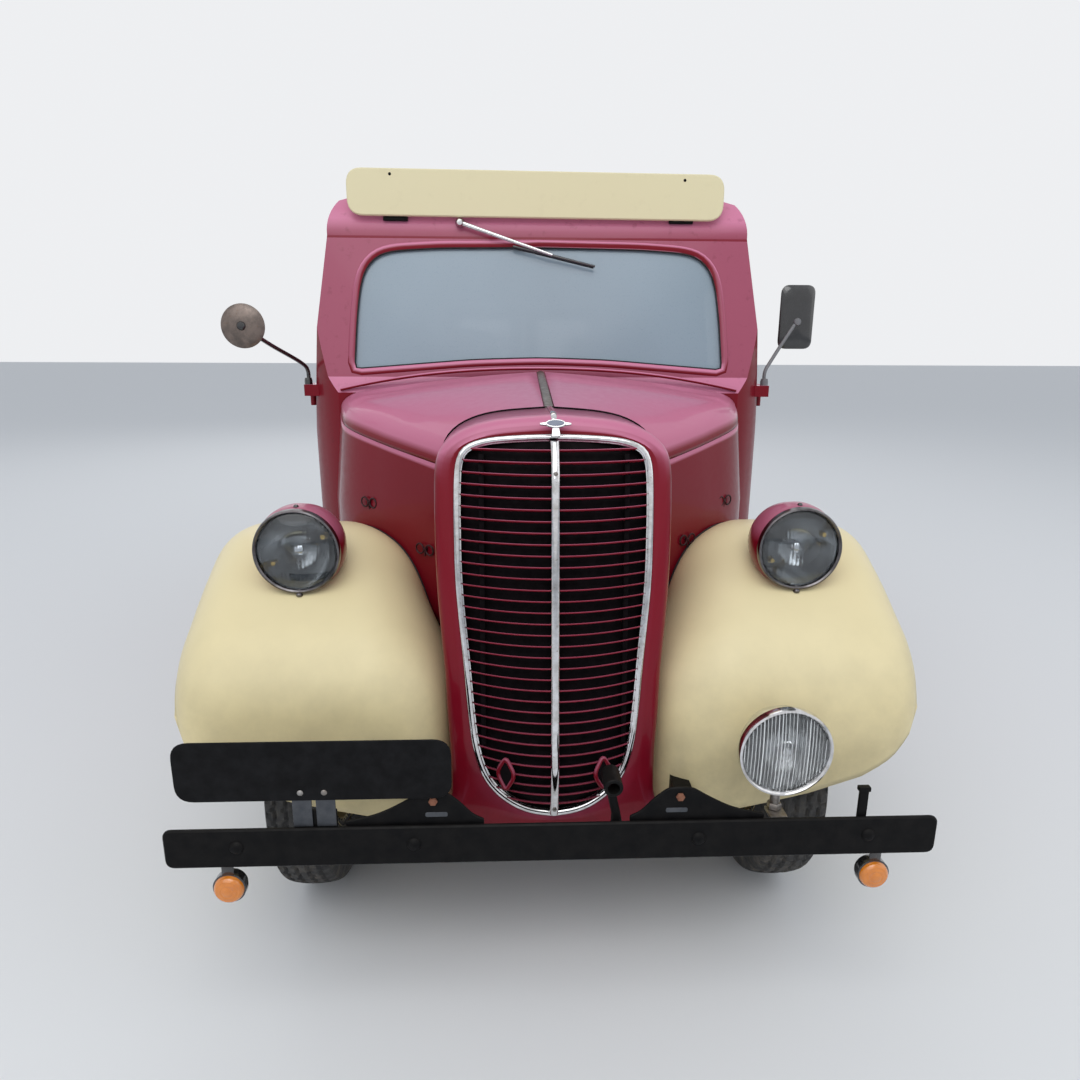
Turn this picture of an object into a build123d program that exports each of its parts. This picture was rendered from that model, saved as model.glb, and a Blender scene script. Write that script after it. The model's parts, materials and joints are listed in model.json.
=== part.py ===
# Forward-control ice cream van of the 1950s, steel and alloy panels on a channel chassis.
# Millimetres. The vehicle stands on Z 0, faces -Y, and its own left side is +X.
import math
import os

from build123d import *

os.makedirs("parts", exist_ok=True)

# Layout of the whole vehicle
overall_length = 3960
wheelbase = 2286
front_overhang = 615
track_front = 1200
track_rear = 1300
front_end_y = -overall_length / 2
rear_end_y = overall_length / 2
front_axle_y = front_end_y + front_overhang
rear_axle_y = front_axle_y + wheelbase

# Clearances
seat_gap = 0.3
panel_gap = 5
running_gap = 0.1

# Wheels and tyres
tyre_radius = 356
tyre_width = 160
rim_radius = 205
rim_width = 112
stub_radius = 20
axle_z = tyre_radius
kingpin_x = 520
kingpin_radius = 14
drum_radius = 127
rear_hub_x = track_rear / 2
front_hub_x = track_front / 2

# Chassis
rail_inner_x = 300
rail_outer_x = 345
rail_bottom_z = 475
rail_top_z = 595
rail_wall = 5
rail_front_y = front_axle_y - 440
rail_rear_y = rear_end_y - 85
floor_bottom_z = 640
floor_thickness = 18
spring_width = 44

# Body shell
body_wall = 28
sill_z = 500
sill_half = 668
belt_half = 700
belt_z = 1165
gutter_half = 630
gutter_z = 1742
roof_corner_half = 600
roof_corner_z = gutter_z + 104
roof_crown_z = gutter_z + 208
body_rear_y = rear_end_y - 45
body_front_y = front_axle_y + 380
screen_base_y = front_axle_y + 405
screen_base_z = 1335
screen_top_y = front_axle_y + 498
screen_top_z = gutter_z - 29
screen_top_radius = 55
screen_low_radius = 16

# Cab doors
door_front_y = front_axle_y + 550
door_rear_y = front_axle_y + 1150
door_bottom_z = 530
door_top_z = gutter_z - 47
door_hinge_x = 712
door_hinge_y = door_front_y - 6
door_hinge_z = (760, 1275)
hinge_barrel = 9
door_window_low_z = 1210
door_window_high_z = 1630
door_handle_z = 1080

# Serving hatch in the left side
hatch_front_y = front_axle_y + 1420
hatch_rear_y = front_axle_y + 2480
hatch_bottom_z = 1180
hatch_top_z = gutter_z - 82
hatch_hinge_out = 13

# Rear doors
rear_door_half = 520
rear_door_bottom_z = 560
rear_door_top_z = gutter_z - 52
rear_door_hinge_z = (760, 1480)
rear_window_low_z = 1230
rear_window_high_z = 1600
rear_handle_x = -60
rear_handle_z = 1090

# Nose, grille and bonnet
nose_front_top_y = front_axle_y - 360
nose_front_top_z = 1263
nose_front_low_y = front_axle_y - 470
nose_front_low_z = 436
nose_rear_y = front_axle_y - 155
nose_wall = 4
grille_bars = 33
grille_top_z = 1222
grille_pitch = 23.2
bar_height = 12
grille_bulge = 55
grille_half = 208
bonnet_front_y = nose_rear_y + panel_gap
bonnet_rear_y = body_front_y - 12
bonnet_sheet = 3
crease_drop = 30
bonnet_lip = 8
side_seam = 2
strip_half = 12
strip_front_z = 1290
strip_rear_z = 1352

# Front wings
wing_sheet = 4
wing_half = 830
wing_arch_radius = 402

# Fittings at the front
bumper_half = 775
bumper_bottom_z = 420
bumper_top_z = 505
bumper_back_y = front_end_y + 22
head_lamp_x = 560
head_lamp_y = front_axle_y - 277
head_lamp_z = 986
head_lamp_radius = 96
fog_lamp_x = 450
fog_lamp_z = 652
fog_lamp_radius = 94
indicator_x = 660
indicator_z = 365
indicator_radius = 33
plate_width = 533
plate_height = 127
plate_x = -474
plate_z = 630
mirror_arm_out = 148
mirror_reach = door_hinge_x + mirror_arm_out
mirror_round_radius = 58.3
mirror_right_x = mirror_round_radius - mirror_reach
mirror_right_y = front_axle_y + 207
mirror_right_z = 1474
mirror_left_half = 54
mirror_left_x = mirror_reach - mirror_left_half
mirror_left_y = front_axle_y + 515
mirror_left_low_z = 1420
mirror_left_high_z = 1613
mirror_head_front = 11
mirror_head_back = 4
mirror_arm_radius = 6
sign_half = 565
sign_low_z = gutter_z + 55
sign_high_z = gutter_z + 174
sign_bracket_x = 427

# Steering wheel
wheel_hub = (-259, front_axle_y + 655, 1375)
steering_radius = 205
steering_rake = 27


def save(name, shape):
    if isinstance(shape, (list, tuple)):
        shape = Compound(children=list(shape))
    export_step(shape, "parts/" + name + ".step")


def span(x0, x1, y0, y1, z0, z1):
    low = (min(x0, x1), min(y0, y1), min(z0, z1))
    return Pos(*low) * Box(abs(x1 - x0), abs(y1 - y0), abs(z1 - z0), align=(Align.MIN,) * 3)


def rod(start, end, radius):
    axis = Vector(*end) - Vector(*start)
    base = Plane(origin=start, z_dir=axis.normalized())
    return base * Cylinder(radius, axis.length, align=(Align.CENTER, Align.CENTER, Align.MIN))


def bent_rod(points, radius):
    pieces = [rod(a, b, radius) for a, b in zip(points[:-1], points[1:])]
    joints = [Pos(*p) * Sphere(radius) for p in points[1:-1]]
    return fuse(pieces + joints)


def fuse(shapes):
    whole = shapes[0]
    for other in shapes[1:]:
        whole = whole + other
    return whole


def along_x(points, x0, x1, corner=0):
    face = make_face(Polyline(*points, close=True))
    if corner:
        face = fillet(face.vertices(), corner)
    return extrude(Plane((x0, 0, 0), x_dir=(0, 1, 0), z_dir=(1, 0, 0)) * face, x1 - x0)


def along_y(points, y0, y1, corner=0):
    face = make_face(Polyline(*points, close=True))
    if corner:
        face = fillet(face.vertices(), corner)
    return extrude(Plane((0, y1, 0), x_dir=(1, 0, 0), z_dir=(0, -1, 0)) * face, y1 - y0)


def along_z(points, z0, z1, corner=0):
    face = make_face(Polyline(*points, close=True))
    if corner:
        face = fillet(face.vertices(), corner)
    return extrude(Plane((0, 0, z0)) * face, z1 - z0)


def bowl_of(rim_r, front, depth):
    """A lamp bowl, round about Y, from its rim back to its rounded end."""
    outline = Spline(
        (rim_r, front), (rim_r * 0.93, front + depth * 0.36), (rim_r * 0.68, front + depth * 0.74),
        (0, front + depth), tangents=((0, 1), (-1, 0)),
    )
    edges = [Line((0, front), (rim_r, front)), outline, Line((0, front + depth), (0, front))]
    return revolve(make_face(Curve() + edges), Axis.Y)


def lens_of(edge_r, back, edge, bulge):
    """A lamp glass, flat behind, with an edge and a domed front."""
    ball = (edge_r ** 2 + bulge ** 2) / (2 * bulge)
    half = math.asin(edge_r / ball) / 2
    mid = (ball * math.sin(half), back - edge - bulge + ball * (1 - math.cos(half)))
    edges = [
        Line((0, back), (edge_r, back)),
        Line((edge_r, back), (edge_r, back - edge)),
        ThreePointArc((edge_r, back - edge), mid, (0, back - edge - bulge)),
        Line((0, back - edge - bulge), (0, back)),
    ]
    return revolve(make_face(Curve() + edges), Axis.Y)


def both_sides(points):
    return list(points) + [(-x, z) for x, z in reversed(points) if abs(x) > 1e-6]


def flip(shape):
    return mirror(shape, Plane.YZ)


def yf(distance):
    return front_axle_y + distance


def side_x(z):
    """Half width of the body between its belt and its gutter."""
    return belt_half + (gutter_half - belt_half) * (z - belt_z) / (gutter_z - belt_z)


# Body shell: cross-section, side view and plan cut one another
def body_solid(inset):
    side = [
        (sill_half - inset, sill_z - 200 if inset else sill_z),
        (belt_half - inset, belt_z),
        (gutter_half - inset, gutter_z),
    ]
    corner = (roof_corner_half - inset * 0.6, roof_corner_z - inset * 0.8)
    crown = roof_crown_z - inset
    low = side[0]
    edges = []
    for sign in (1, -1):
        mid = (sign * (side[0][0] + 24), (low[1] + side[1][1]) / 2 + 20)
        edges.append(ThreePointArc((sign * low[0], low[1]), mid, (sign * side[1][0], side[1][1])))
        edges.append(Line((sign * side[1][0], side[1][1]), (sign * side[2][0], side[2][1])))
        mid = (sign * (side[2][0] - 7), side[2][1] + 62 - inset * 0.1)
        edges.append(ThreePointArc((sign * side[2][0], side[2][1]), mid, (sign * corner[0], corner[1])))
    edges.append(ThreePointArc((corner[0], corner[1]), (0, crown), (-corner[0], corner[1])))
    edges.append(Line((low[0], low[1]), (-low[0], low[1])))
    section = make_face(Curve() + edges)
    rear_plane = Plane((0, rear_end_y + 300, 0), x_dir=(1, 0, 0), z_dir=(0, -1, 0)) * section
    length = extrude(rear_plane, overall_length + 600)

    rake = (screen_top_y - screen_base_y) / (screen_top_z - screen_base_z)
    head_y = screen_top_y + 22 * rake + inset
    brow = roof_crown_z - 50 - inset
    ridge = roof_crown_z + 4 - inset
    tail_z = rear_door_top_z
    outline = [
        Line((body_front_y + inset, sill_z - 300), (body_front_y + inset, screen_base_z - 45)),
        Line((body_front_y + inset, screen_base_z - 45), (screen_base_y + inset, screen_base_z)),
        Line((screen_base_y + inset, screen_base_z), (head_y, screen_top_z + 22)),
        ThreePointArc(
            (head_y, screen_top_z + 22),
            (head_y + 45, roof_crown_z - 114 - inset * 0.7),
            (head_y + 150, brow),
        ),
        ThreePointArc(
            (head_y + 150, brow),
            (head_y + 420, roof_crown_z - 9 - inset),
            (head_y + 760, ridge),
        ),
        Line((head_y + 760, ridge), (body_rear_y - 330, ridge)),
        ThreePointArc(
            (body_rear_y - 330, ridge),
            (body_rear_y - 90 - inset * 0.7, roof_crown_z - 70 - inset * 0.7),
            (body_rear_y - inset, tail_z),
        ),
        Line((body_rear_y - inset, tail_z), (body_rear_y - inset, sill_z - 300)),
        Line((body_rear_y - inset, sill_z - 300), (body_front_y + inset, sill_z - 300)),
    ]
    profile = Plane((-900, 0, 0), x_dir=(0, 1, 0), z_dir=(1, 0, 0)) * make_face(Curve() + outline)
    side_view = extrude(profile, 1800)

    plan_half = belt_half + 12 - inset
    plan = [
        Line((-560, body_front_y + inset - 20), (560, body_front_y + inset - 20)),
        ThreePointArc(
            (560, body_front_y + inset - 20),
            (plan_half - 62, body_front_y + 45 + inset * 0.9),
            (plan_half, body_front_y + 260),
        ),
        Line((plan_half, body_front_y + 260), (plan_half, body_rear_y - 120)),
        ThreePointArc(
            (plan_half, body_rear_y - 120),
            (plan_half - 38, body_rear_y - 38 - inset * 0.4),
            (plan_half - 130, body_rear_y - inset),
        ),
        Line((plan_half - 130, body_rear_y - inset), (-plan_half + 130, body_rear_y - inset)),
        ThreePointArc(
            (-plan_half + 130, body_rear_y - inset),
            (-plan_half + 38, body_rear_y - 38 - inset * 0.4),
            (-plan_half, body_rear_y - 120),
        ),
        Line((-plan_half, body_rear_y - 120), (-plan_half, body_front_y + 260)),
        ThreePointArc(
            (-plan_half, body_front_y + 260),
            (-plan_half + 62, body_front_y + 45 + inset * 0.9),
            (-560, body_front_y + inset - 20),
        ),
    ]
    plan_part = extrude(make_face(Curve() + plan), 2400)
    return length & side_view & plan_part


body_outer = body_solid(0)
body_inner = body_solid(body_wall)
body_shell = body_outer - body_inner
glass_layer = body_solid(10) - body_solid(15)

# Windscreen outline seen from the front
screen_points = both_sides([
    (0, screen_top_z), (300, screen_top_z - 4), (455, screen_top_z - 14), (505, screen_top_z - 43),
    (533, screen_top_z - 98), (546, screen_base_z + 165), (553, screen_base_z + 21),
    (400, screen_base_z + 33), (200, screen_base_z + 49), (0, screen_base_z + 55),
])
screen_face = make_face(Polyline(*screen_points, close=True))
screen_top = [v for v in screen_face.vertices() if -113 < v.Y - screen_top_z < -13]
screen_face = fillet(screen_top, screen_top_radius)
screen_low = [v for v in screen_face.vertices() if abs(v.X) > 540 and v.Y < screen_base_z + 65]
screen_face = fillet(screen_low, screen_low_radius)
screen_cut = extrude(
    Plane((0, yf(600), 0), x_dir=(1, 0, 0), z_dir=(0, -1, 0)) * screen_face, 260
)

# Wheel arches of the body
rear_arch = rod((-900, rear_axle_y, axle_z), (900, rear_axle_y, axle_z), 400)

# Roof
roof = body_shell & span(-900, 900, body_front_y - 50, rear_end_y, gutter_z, 2200)
gutter = []
for side in (1, -1):
    gutter.append(
        span(side * (gutter_half - 2), side * (gutter_half + 8), yf(640), body_rear_y - 130,
             gutter_z, gutter_z + 12)
    )
roof = fuse([roof] + gutter)
save("roof", roof)

# Side panels with door opening, serving hatch and rear arch
door_cut_front = door_front_y - panel_gap
door_cut_rear = door_rear_y + panel_gap
door_cut_low = door_bottom_z - panel_gap
door_cut_high = door_top_z + panel_gap
rear_frame_y = body_rear_y - 60
floor_inner_half = sill_half - body_wall + 4


def side_panel(side):
    zone = span(0, side * 900, door_cut_front - 12, rear_frame_y, sill_z, gutter_z)
    panel = body_shell & zone
    panel = panel - span(0, side * 900, door_cut_front, door_cut_rear, door_cut_low, door_cut_high)
    panel = panel - rear_arch
    return panel


hatch_hinge_x = side_x(hatch_top_z) + hatch_hinge_out
side_right = side_panel(-1)
side_left = side_panel(1)
side_left = side_left - span(
    0, 900, hatch_front_y - panel_gap, hatch_rear_y + panel_gap,
    hatch_bottom_z - panel_gap, hatch_top_z + panel_gap,
)
for y0, y1 in ((hatch_front_y + 2, hatch_front_y + 59.6), (hatch_rear_y - 59.6, hatch_rear_y - 2)):
    side_left = side_left + rod(
        (hatch_hinge_x, y0, hatch_top_z + 2), (hatch_hinge_x, y1, hatch_top_z + 2), 5
    )
    side_left = side_left + span(
        hatch_hinge_x - 20, hatch_hinge_x, y0, y1, hatch_top_z + 2, hatch_top_z + 14
    )
save("side_left", side_left)
save("side_right", side_right)

# Serving hatch flap, hinged along its top
hatch_zone = span(0, 900, hatch_front_y, hatch_rear_y, hatch_bottom_z, hatch_top_z)
hatch = body_shell & hatch_zone
hatch_barrel = rod(
    (hatch_hinge_x, hatch_front_y + 60, hatch_top_z + 2),
    (hatch_hinge_x, hatch_rear_y - 60, hatch_top_z + 2), 5,
)
hatch = hatch + span(
    hatch_hinge_x - 26, hatch_hinge_x - 2, hatch_front_y + 60, hatch_rear_y - 60,
    hatch_top_z - 8, hatch_top_z,
)
hatch = hatch + hatch_barrel
save("serving_hatch", hatch)

# Rear frame and rear doors
rear_zone = span(-900, 900, rear_frame_y, rear_end_y + 50, sill_z, gutter_z)
rear_frame = body_shell & rear_zone
rear_opening = span(
    -rear_door_half - panel_gap, rear_door_half + panel_gap, body_rear_y - 100, rear_end_y,
    rear_door_bottom_z - panel_gap, rear_door_top_z + panel_gap,
)
rear_frame = rear_frame - rear_opening
save("rear_frame", rear_frame)

for side, word in ((1, "left"), (-1, "right")):
    leaf = body_shell & span(
        side * panel_gap / 2, side * rear_door_half, body_rear_y - 100, rear_end_y,
        rear_door_bottom_z, rear_door_top_z,
    )
    window = along_y(
        [(side * 90, rear_window_low_z), (side * 430, rear_window_low_z), (side * 430, rear_window_high_z),
         (side * 90, rear_window_high_z)],
        body_rear_y - 100, rear_end_y, 45,
    )
    pane = glass_layer & window
    leaf = leaf - window
    for z in rear_door_hinge_z:
        leaf = leaf + rod(
            (side * (rear_door_half + 3), body_rear_y + 7, z - 40),
            (side * (rear_door_half + 3), body_rear_y + 7, z + 40), 7,
        )
        leaf = leaf + span(
            side * (rear_door_half - 120), side * (rear_door_half + 3), body_rear_y,
            body_rear_y + 5, z - 20, z + 20,
        )
    if side == -1:
        leaf = leaf + rod(
            (rear_handle_x, body_rear_y, rear_handle_z), (rear_handle_x, body_rear_y + 40, rear_handle_z), 8
        )
        leaf = leaf + span(
            rear_handle_x - 8, rear_handle_x + 8, body_rear_y + 30, body_rear_y + 40,
            rear_handle_z - 60, rear_handle_z + 20,
        )
    save("rear_door_" + word, leaf)
    save("rear_door_glass_" + word, pane)

# Cab front: windscreen surround, posts and scuttle
cab_front = body_shell & span(-900, 900, body_front_y - 50, door_cut_front - 12, sill_z, gutter_z)
cab_front = cab_front - screen_cut
cab_front = cab_front - span(-360, 360, body_front_y - 50, body_front_y + 60, sill_z, floor_bottom_z)
column_hole = span(-320, -200, body_front_y - 50, body_front_y + 60, 700, 980)
cab_front = cab_front - column_hole
save("windscreen_glass", glass_layer & screen_cut)

# Cab doors with their windows, hinged at the front
for side, word in ((1, "left"), (-1, "right")):
    zone = span(0, side * 900, door_front_y, door_rear_y, door_bottom_z, door_top_z)
    door = body_shell & zone
    window = along_x(
        [(yf(640), door_window_low_z), (yf(1085), door_window_low_z), (yf(1085), door_window_high_z),
         (yf(665), door_window_high_z)],
        min(0, side * 900), max(0, side * 900), 50,
    )
    pane = glass_layer & window
    door = door - window
    for z in door_hinge_z:
        door = door + rod(
            (side * door_hinge_x, door_hinge_y, z - 34), (side * door_hinge_x, door_hinge_y, z - 1),
            hinge_barrel,
        )
        door = door + span(
            side * (door_hinge_x - 6), side * (door_hinge_x + 4), door_hinge_y, door_front_y + 70,
            z - 34, z - 1,
        )
        door = door + span(
            side * (door_hinge_x - 34), side * (door_hinge_x + 4), door_front_y, door_front_y + 12,
            z - 34, z - 1,
        )
    door = door - body_inner
    door = door + rod(
        (side * 690, door_rear_y - 60, door_handle_z), (side * 735, door_rear_y - 60, door_handle_z), 9
    )
    door = door + span(
        side * 727, side * 738, door_rear_y - 150, door_rear_y - 50, door_handle_z - 10, door_handle_z + 10
    )
    save("cab_door_" + word, door)
    save("cab_door_glass_" + word, pane)

# Hinge blocks on the door posts
blocks = []
for side in (1, -1):
    for z in door_hinge_z:
        block = span(
            side * 660, side * (door_hinge_x + 4), door_hinge_y - 90, door_hinge_y, z, z + 34
        )
        block = block + rod(
            (side * door_hinge_x, door_hinge_y, z), (side * door_hinge_x, door_hinge_y, z + 34),
            hinge_barrel,
        )
        block = block - body_outer
        blocks.append(block)
save("cab_front", [cab_front] + blocks)

# Floor with its wheel boxes
floor_front_y = body_front_y + body_wall
floor_rear_y = body_rear_y - body_wall
floor_top_z = floor_bottom_z + floor_thickness
wheel_box_reach = 415
wheel_box_x = 535
wheel_box_top_z = 800
box_sheet = 5
box_y = (rear_axle_y - wheel_box_reach, rear_axle_y + wheel_box_reach)
floor_parts = [
    span(-900, 900, floor_front_y, box_y[0], floor_bottom_z, floor_top_z) & body_inner,
    span(-wheel_box_x, wheel_box_x, box_y[0], box_y[1], floor_bottom_z, floor_top_z),
    span(-900, 900, box_y[1], floor_rear_y, floor_bottom_z, floor_top_z) & body_inner,
]
for side in (1, -1):
    near = side * wheel_box_x
    far = side * 655
    floor_parts.append(
        span(near, near + side * box_sheet, box_y[0], box_y[1], floor_top_z, wheel_box_top_z)
    )
    floor_parts.append(
        span(near + side * box_sheet, far, box_y[0], box_y[1], wheel_box_top_z - box_sheet, wheel_box_top_z)
    )
    for y in (box_y[0], box_y[1] - box_sheet):
        floor_parts.append(
            span(near + side * box_sheet, far, y, y + box_sheet, floor_top_z, wheel_box_top_z - box_sheet)
        )
save("floor", floor_parts)

# Chassis frame
iron_y = front_axle_y - 345
tail_member_y = rail_rear_y - 60
chassis_parts = []
for side in (1, -1):
    rail = span(
        side * rail_inner_x, side * rail_outer_x, rail_front_y, rail_rear_y, rail_bottom_z, rail_top_z
    )
    rail = rail - span(
        side * (rail_inner_x - 1), side * (rail_outer_x - rail_wall), rail_front_y - 1,
        rail_rear_y + 1, rail_bottom_z + rail_wall, rail_top_z - rail_wall,
    )
    chassis_parts.append(rail)
    chassis_parts.append(span(side * 262, side * rail_inner_x, bumper_back_y, iron_y, 440, 500))
    for y in (yf(760), yf(1640)):
        chassis_parts.append(span(side * rail_outer_x, side * 690, y - 22, y + 22, 480, 492))
for y, low, high in (
    (iron_y + 30, 480, 500), (yf(-150), 480, 500), (yf(250), 480, 500), (yf(900), 500, 570),
    (rear_axle_y - 436, 500, 570), (rear_axle_y + 464, 500, 570), (tail_member_y, 480, 590),
):
    chassis_parts.append(
        span(-rail_outer_x + rail_wall, rail_outer_x - rail_wall, y - 30, y + 30, low, high)
    )
for y in (yf(700), yf(1150), yf(1700), rear_axle_y + 564, tail_member_y):
    chassis_parts.append(span(-632, 632, y - 25, y + 25, rail_top_z, floor_bottom_z))
save("chassis_frame", chassis_parts)

# Engine, gearbox, shaft, exhaust and tank
engine = span(-60, 235, yf(-140), yf(330), 500, 1000)
gearbox = span(20, 190, yf(330), yf(610), 430, 590)
shaft = rod((105, yf(610), 470), (40, rear_axle_y - 105, axle_z + 6), 26)
radiator = span(-200, 200, yf(-345), yf(-285), 500, 1180)
save("engine", [engine + gearbox, shaft, radiator])
pipe = bent_rod(
    [(225, yf(300), 500), (225, yf(420), 445), (225, yf(1080), 445)], 20
) + rod((225, yf(1080), 445), (225, yf(1560), 445), 62)
pipe = pipe - span(0, 500, yf(200), yf(420), 500, 700)
tail = bent_rod(
    [(225, yf(1560), 445), (225, yf(1930), 445), (225, yf(2050), 540), (225, yf(2500), 540),
     (225, yf(2640), 445), (225, tail_member_y + 80, 445)], 18
)
hanger = span(218, 232, tail_member_y - 5, tail_member_y + 5, 455, 480)
save("exhaust", fuse([pipe, tail, hanger]))
tank = along_y(
    [(-rail_outer_x, 350), (-620, 350), (-620, 585), (-rail_outer_x, 585)], yf(900), yf(1420), 26
)
save("fuel_tank", tank)

# Front axle beam with springs
eye_low = axle_z - 34
eye_high = axle_z + 34


def leaf_spring(side, axle_y, seat_z):
    x0 = side * (rail_inner_x + 1)
    x1 = side * (rail_inner_x + 1 + spring_width)
    reach = 430
    rise = 52
    edges = [
        ThreePointArc((axle_y - reach, seat_z + rise), (axle_y, seat_z), (axle_y + reach, seat_z + rise)),
        Line((axle_y + reach, seat_z + rise), (axle_y + reach, seat_z + rise + 8)),
        ThreePointArc(
            (axle_y + reach, seat_z + rise + 8), (axle_y, seat_z + 34), (axle_y - reach, seat_z + rise + 8)
        ),
        Line((axle_y - reach, seat_z + rise + 8), (axle_y - reach, seat_z + rise)),
    ]
    face = Plane((min(x0, x1), 0, 0), x_dir=(0, 1, 0), z_dir=(1, 0, 0)) * make_face(Curve() + edges)
    spring = extrude(face, spring_width)
    for end in (-1, 1):
        y = axle_y + end * reach
        spring = spring + rod((x0, y, seat_z + rise + 4), (x1, y, seat_z + rise + 4), 14)
        spring = spring + span(x0, x1, y - 9, y + 9, seat_z + rise + 4, rail_bottom_z)
    return spring


front_beam = span(-kingpin_x + 28, kingpin_x - 28, front_axle_y - 24, front_axle_y + 24,
                  axle_z - 30, axle_z + 29)
front_parts = [front_beam]
for side in (1, -1):
    front_parts.append(
        rod((side * kingpin_x, front_axle_y, eye_low), (side * kingpin_x, front_axle_y, eye_high), 30)
    )
front_axle = fuse(front_parts)
for side in (1, -1):
    front_axle = front_axle - rod(
        (side * kingpin_x, front_axle_y, eye_low - 1), (side * kingpin_x, front_axle_y, eye_high + 1),
        kingpin_radius + running_gap,
    )
    front_axle = front_axle + leaf_spring(side, front_axle_y, axle_z + 29)
save("front_axle", front_axle)

# Steering knuckles
for side, word in ((1, "left"), (-1, "right")):
    k = side * kingpin_x
    outer = side * (kingpin_x + 34)
    parts = [
        rod((k, front_axle_y, eye_low - 26), (k, front_axle_y, eye_high + 26), kingpin_radius),
        span(k - side * 30, outer + side * 14, front_axle_y - 28, front_axle_y + 28, eye_high + 1, eye_high + 27),
        span(k - side * 30, outer + side * 14, front_axle_y - 28, front_axle_y + 28, eye_low - 27, eye_low - 1),
        span(outer, outer + side * 14, front_axle_y - 28, front_axle_y + 28, eye_low - 27, eye_high + 27),
        rod((outer, front_axle_y, axle_z), (side * (front_hub_x + 34), front_axle_y, axle_z), stub_radius),
        rod((outer + side * 1, front_axle_y, axle_z), (outer + side * 5, front_axle_y, axle_z), drum_radius - 10),
    ]
    save("knuckle_" + word, fuse(parts))

# Rear axle with springs
rear_parts = [
    rod((-rear_hub_x + 70, rear_axle_y, axle_z), (rear_hub_x - 70, rear_axle_y, axle_z), 36),
    rod((-rear_hub_x - 34, rear_axle_y, axle_z), (rear_hub_x + 34, rear_axle_y, axle_z), stub_radius),
    rod((-25, rear_axle_y, axle_z), (105, rear_axle_y, axle_z), 104),
]
for side in (1, -1):
    rear_parts.append(
        rod((side * (rear_hub_x - 75), rear_axle_y, axle_z), (side * (rear_hub_x - 70), rear_axle_y, axle_z),
            drum_radius - 10)
    )
    rear_parts.append(leaf_spring(side, rear_axle_y, axle_z + 29))
    rear_parts.append(
        span(side * (rail_inner_x + 1), side * (rail_inner_x + 45), rear_axle_y - 40, rear_axle_y + 40,
             axle_z, axle_z + 32)
    )
save("rear_axle", fuse(rear_parts))

# Wheels and tyres
half_tyre = tyre_width / 2
tyre_profile = [
    Line((-rim_width / 2 + 2, rim_radius), (rim_width / 2 - 2, rim_radius)),
    Line((rim_width / 2 - 2, rim_radius), (rim_width / 2 - 2, rim_radius + 13)),
    ThreePointArc((rim_width / 2 - 2, rim_radius + 13), (half_tyre, 284), (half_tyre - 14, tyre_radius - 12)),
    ThreePointArc((half_tyre - 14, tyre_radius - 12), (0, tyre_radius), (-half_tyre + 14, tyre_radius - 12)),
    ThreePointArc((-half_tyre + 14, tyre_radius - 12), (-half_tyre, 284), (-rim_width / 2 + 2, rim_radius + 13)),
    Line((-rim_width / 2 + 2, rim_radius + 13), (-rim_width / 2 + 2, rim_radius)),
]
tyre = revolve(make_face(Curve() + tyre_profile), Axis.X)
disc_profile = [
    (-rim_width / 2 - 2, rim_radius + 12), (-rim_width / 2 + 2, rim_radius + 12),
    (-rim_width / 2 + 2, rim_radius), (rim_width / 2 - 2, rim_radius),
    (rim_width / 2 - 2, rim_radius + 12), (rim_width / 2 + 2, rim_radius + 12),
    (rim_width / 2 + 2, rim_radius - 6), (30, rim_radius - 8), (30, rim_radius - 40),
    (50, 120), (40, 84), (40, 62), (62, 50), (70, 0), (60, 0), (54, 16), (36, stub_radius + running_gap),
    (-32, stub_radius + running_gap), (-32, 44), (30, 48), (30, 80), (20, drum_radius - 6),
    (-46, drum_radius - 6), (-46, drum_radius), (24, drum_radius), (24, rim_radius - 8),
    (-rim_width / 2 - 2, rim_radius - 8),
]
disc = revolve(make_face(Polyline(*disc_profile, close=True)), Axis.X)
for name, x, y, side in (
    ("front_left", front_hub_x, front_axle_y, 1), ("front_right", -front_hub_x, front_axle_y, -1),
    ("rear_left", rear_hub_x, rear_axle_y, 1), ("rear_right", -rear_hub_x, rear_axle_y, -1),
):
    one_disc = disc if side == 1 else flip(disc)
    save("tyre_" + name, Pos(x, y, axle_z) * tyre)
    save("wheel_" + name, Pos(x, y, axle_z) * one_disc)


# Nose shell and grille
slope = (nose_front_low_y - nose_front_top_y) / (nose_front_low_z - nose_front_top_z)


def nose_front_y(z):
    return nose_front_top_y + (z - nose_front_top_z) * slope


nose_points = both_sides([
    (0, 1288), (112, 1279), (176, 1264), (226, 1230), (246, 1196), (250, 1100), (248, 960),
    (242, 860), (233, 749), (222, 566), (220, 392),
])
chrome_points = both_sides([
    (0, 1251), (140, 1242), (184, 1224), (203, 1196), (207, 1147), (208, 1040), (205, 928),
    (192, 779), (184, 679), (174, 595), (156, 533), (130, 491), (87, 456), (0, 433),
])
front_cut = along_x(
    [(nose_front_y(300) - 400, 300), (nose_front_y(300), 300), (nose_front_y(1400), 1400),
     (nose_front_y(1400) - 400, 1400)], -900, 900,
)
nose_face = make_face(Polyline(*nose_points, close=True))
nose_face = fillet([v for v in nose_face.vertices() if 500 < v.Y < 1285], 60)
nose_length = nose_rear_y - nose_front_y(300) + 20
shell_back = Plane((0, nose_rear_y, 0), x_dir=(1, 0, 0), z_dir=(0, -1, 0))
nose_block = extrude(shell_back * nose_face, nose_length) - front_cut
nose_inner_face = offset(nose_face, -nose_wall, kind=Kind.INTERSECTION)
nose_hollow = extrude(
    Plane((0, nose_rear_y + 1, 0), x_dir=(1, 0, 0), z_dir=(0, -1, 0)) * nose_inner_face, 400
)
deep_cut = Pos(0, 16, 0) * front_cut
nose_hollow = nose_hollow - deep_cut
chrome_face = make_face(Polyline(*chrome_points, close=True))
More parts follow.
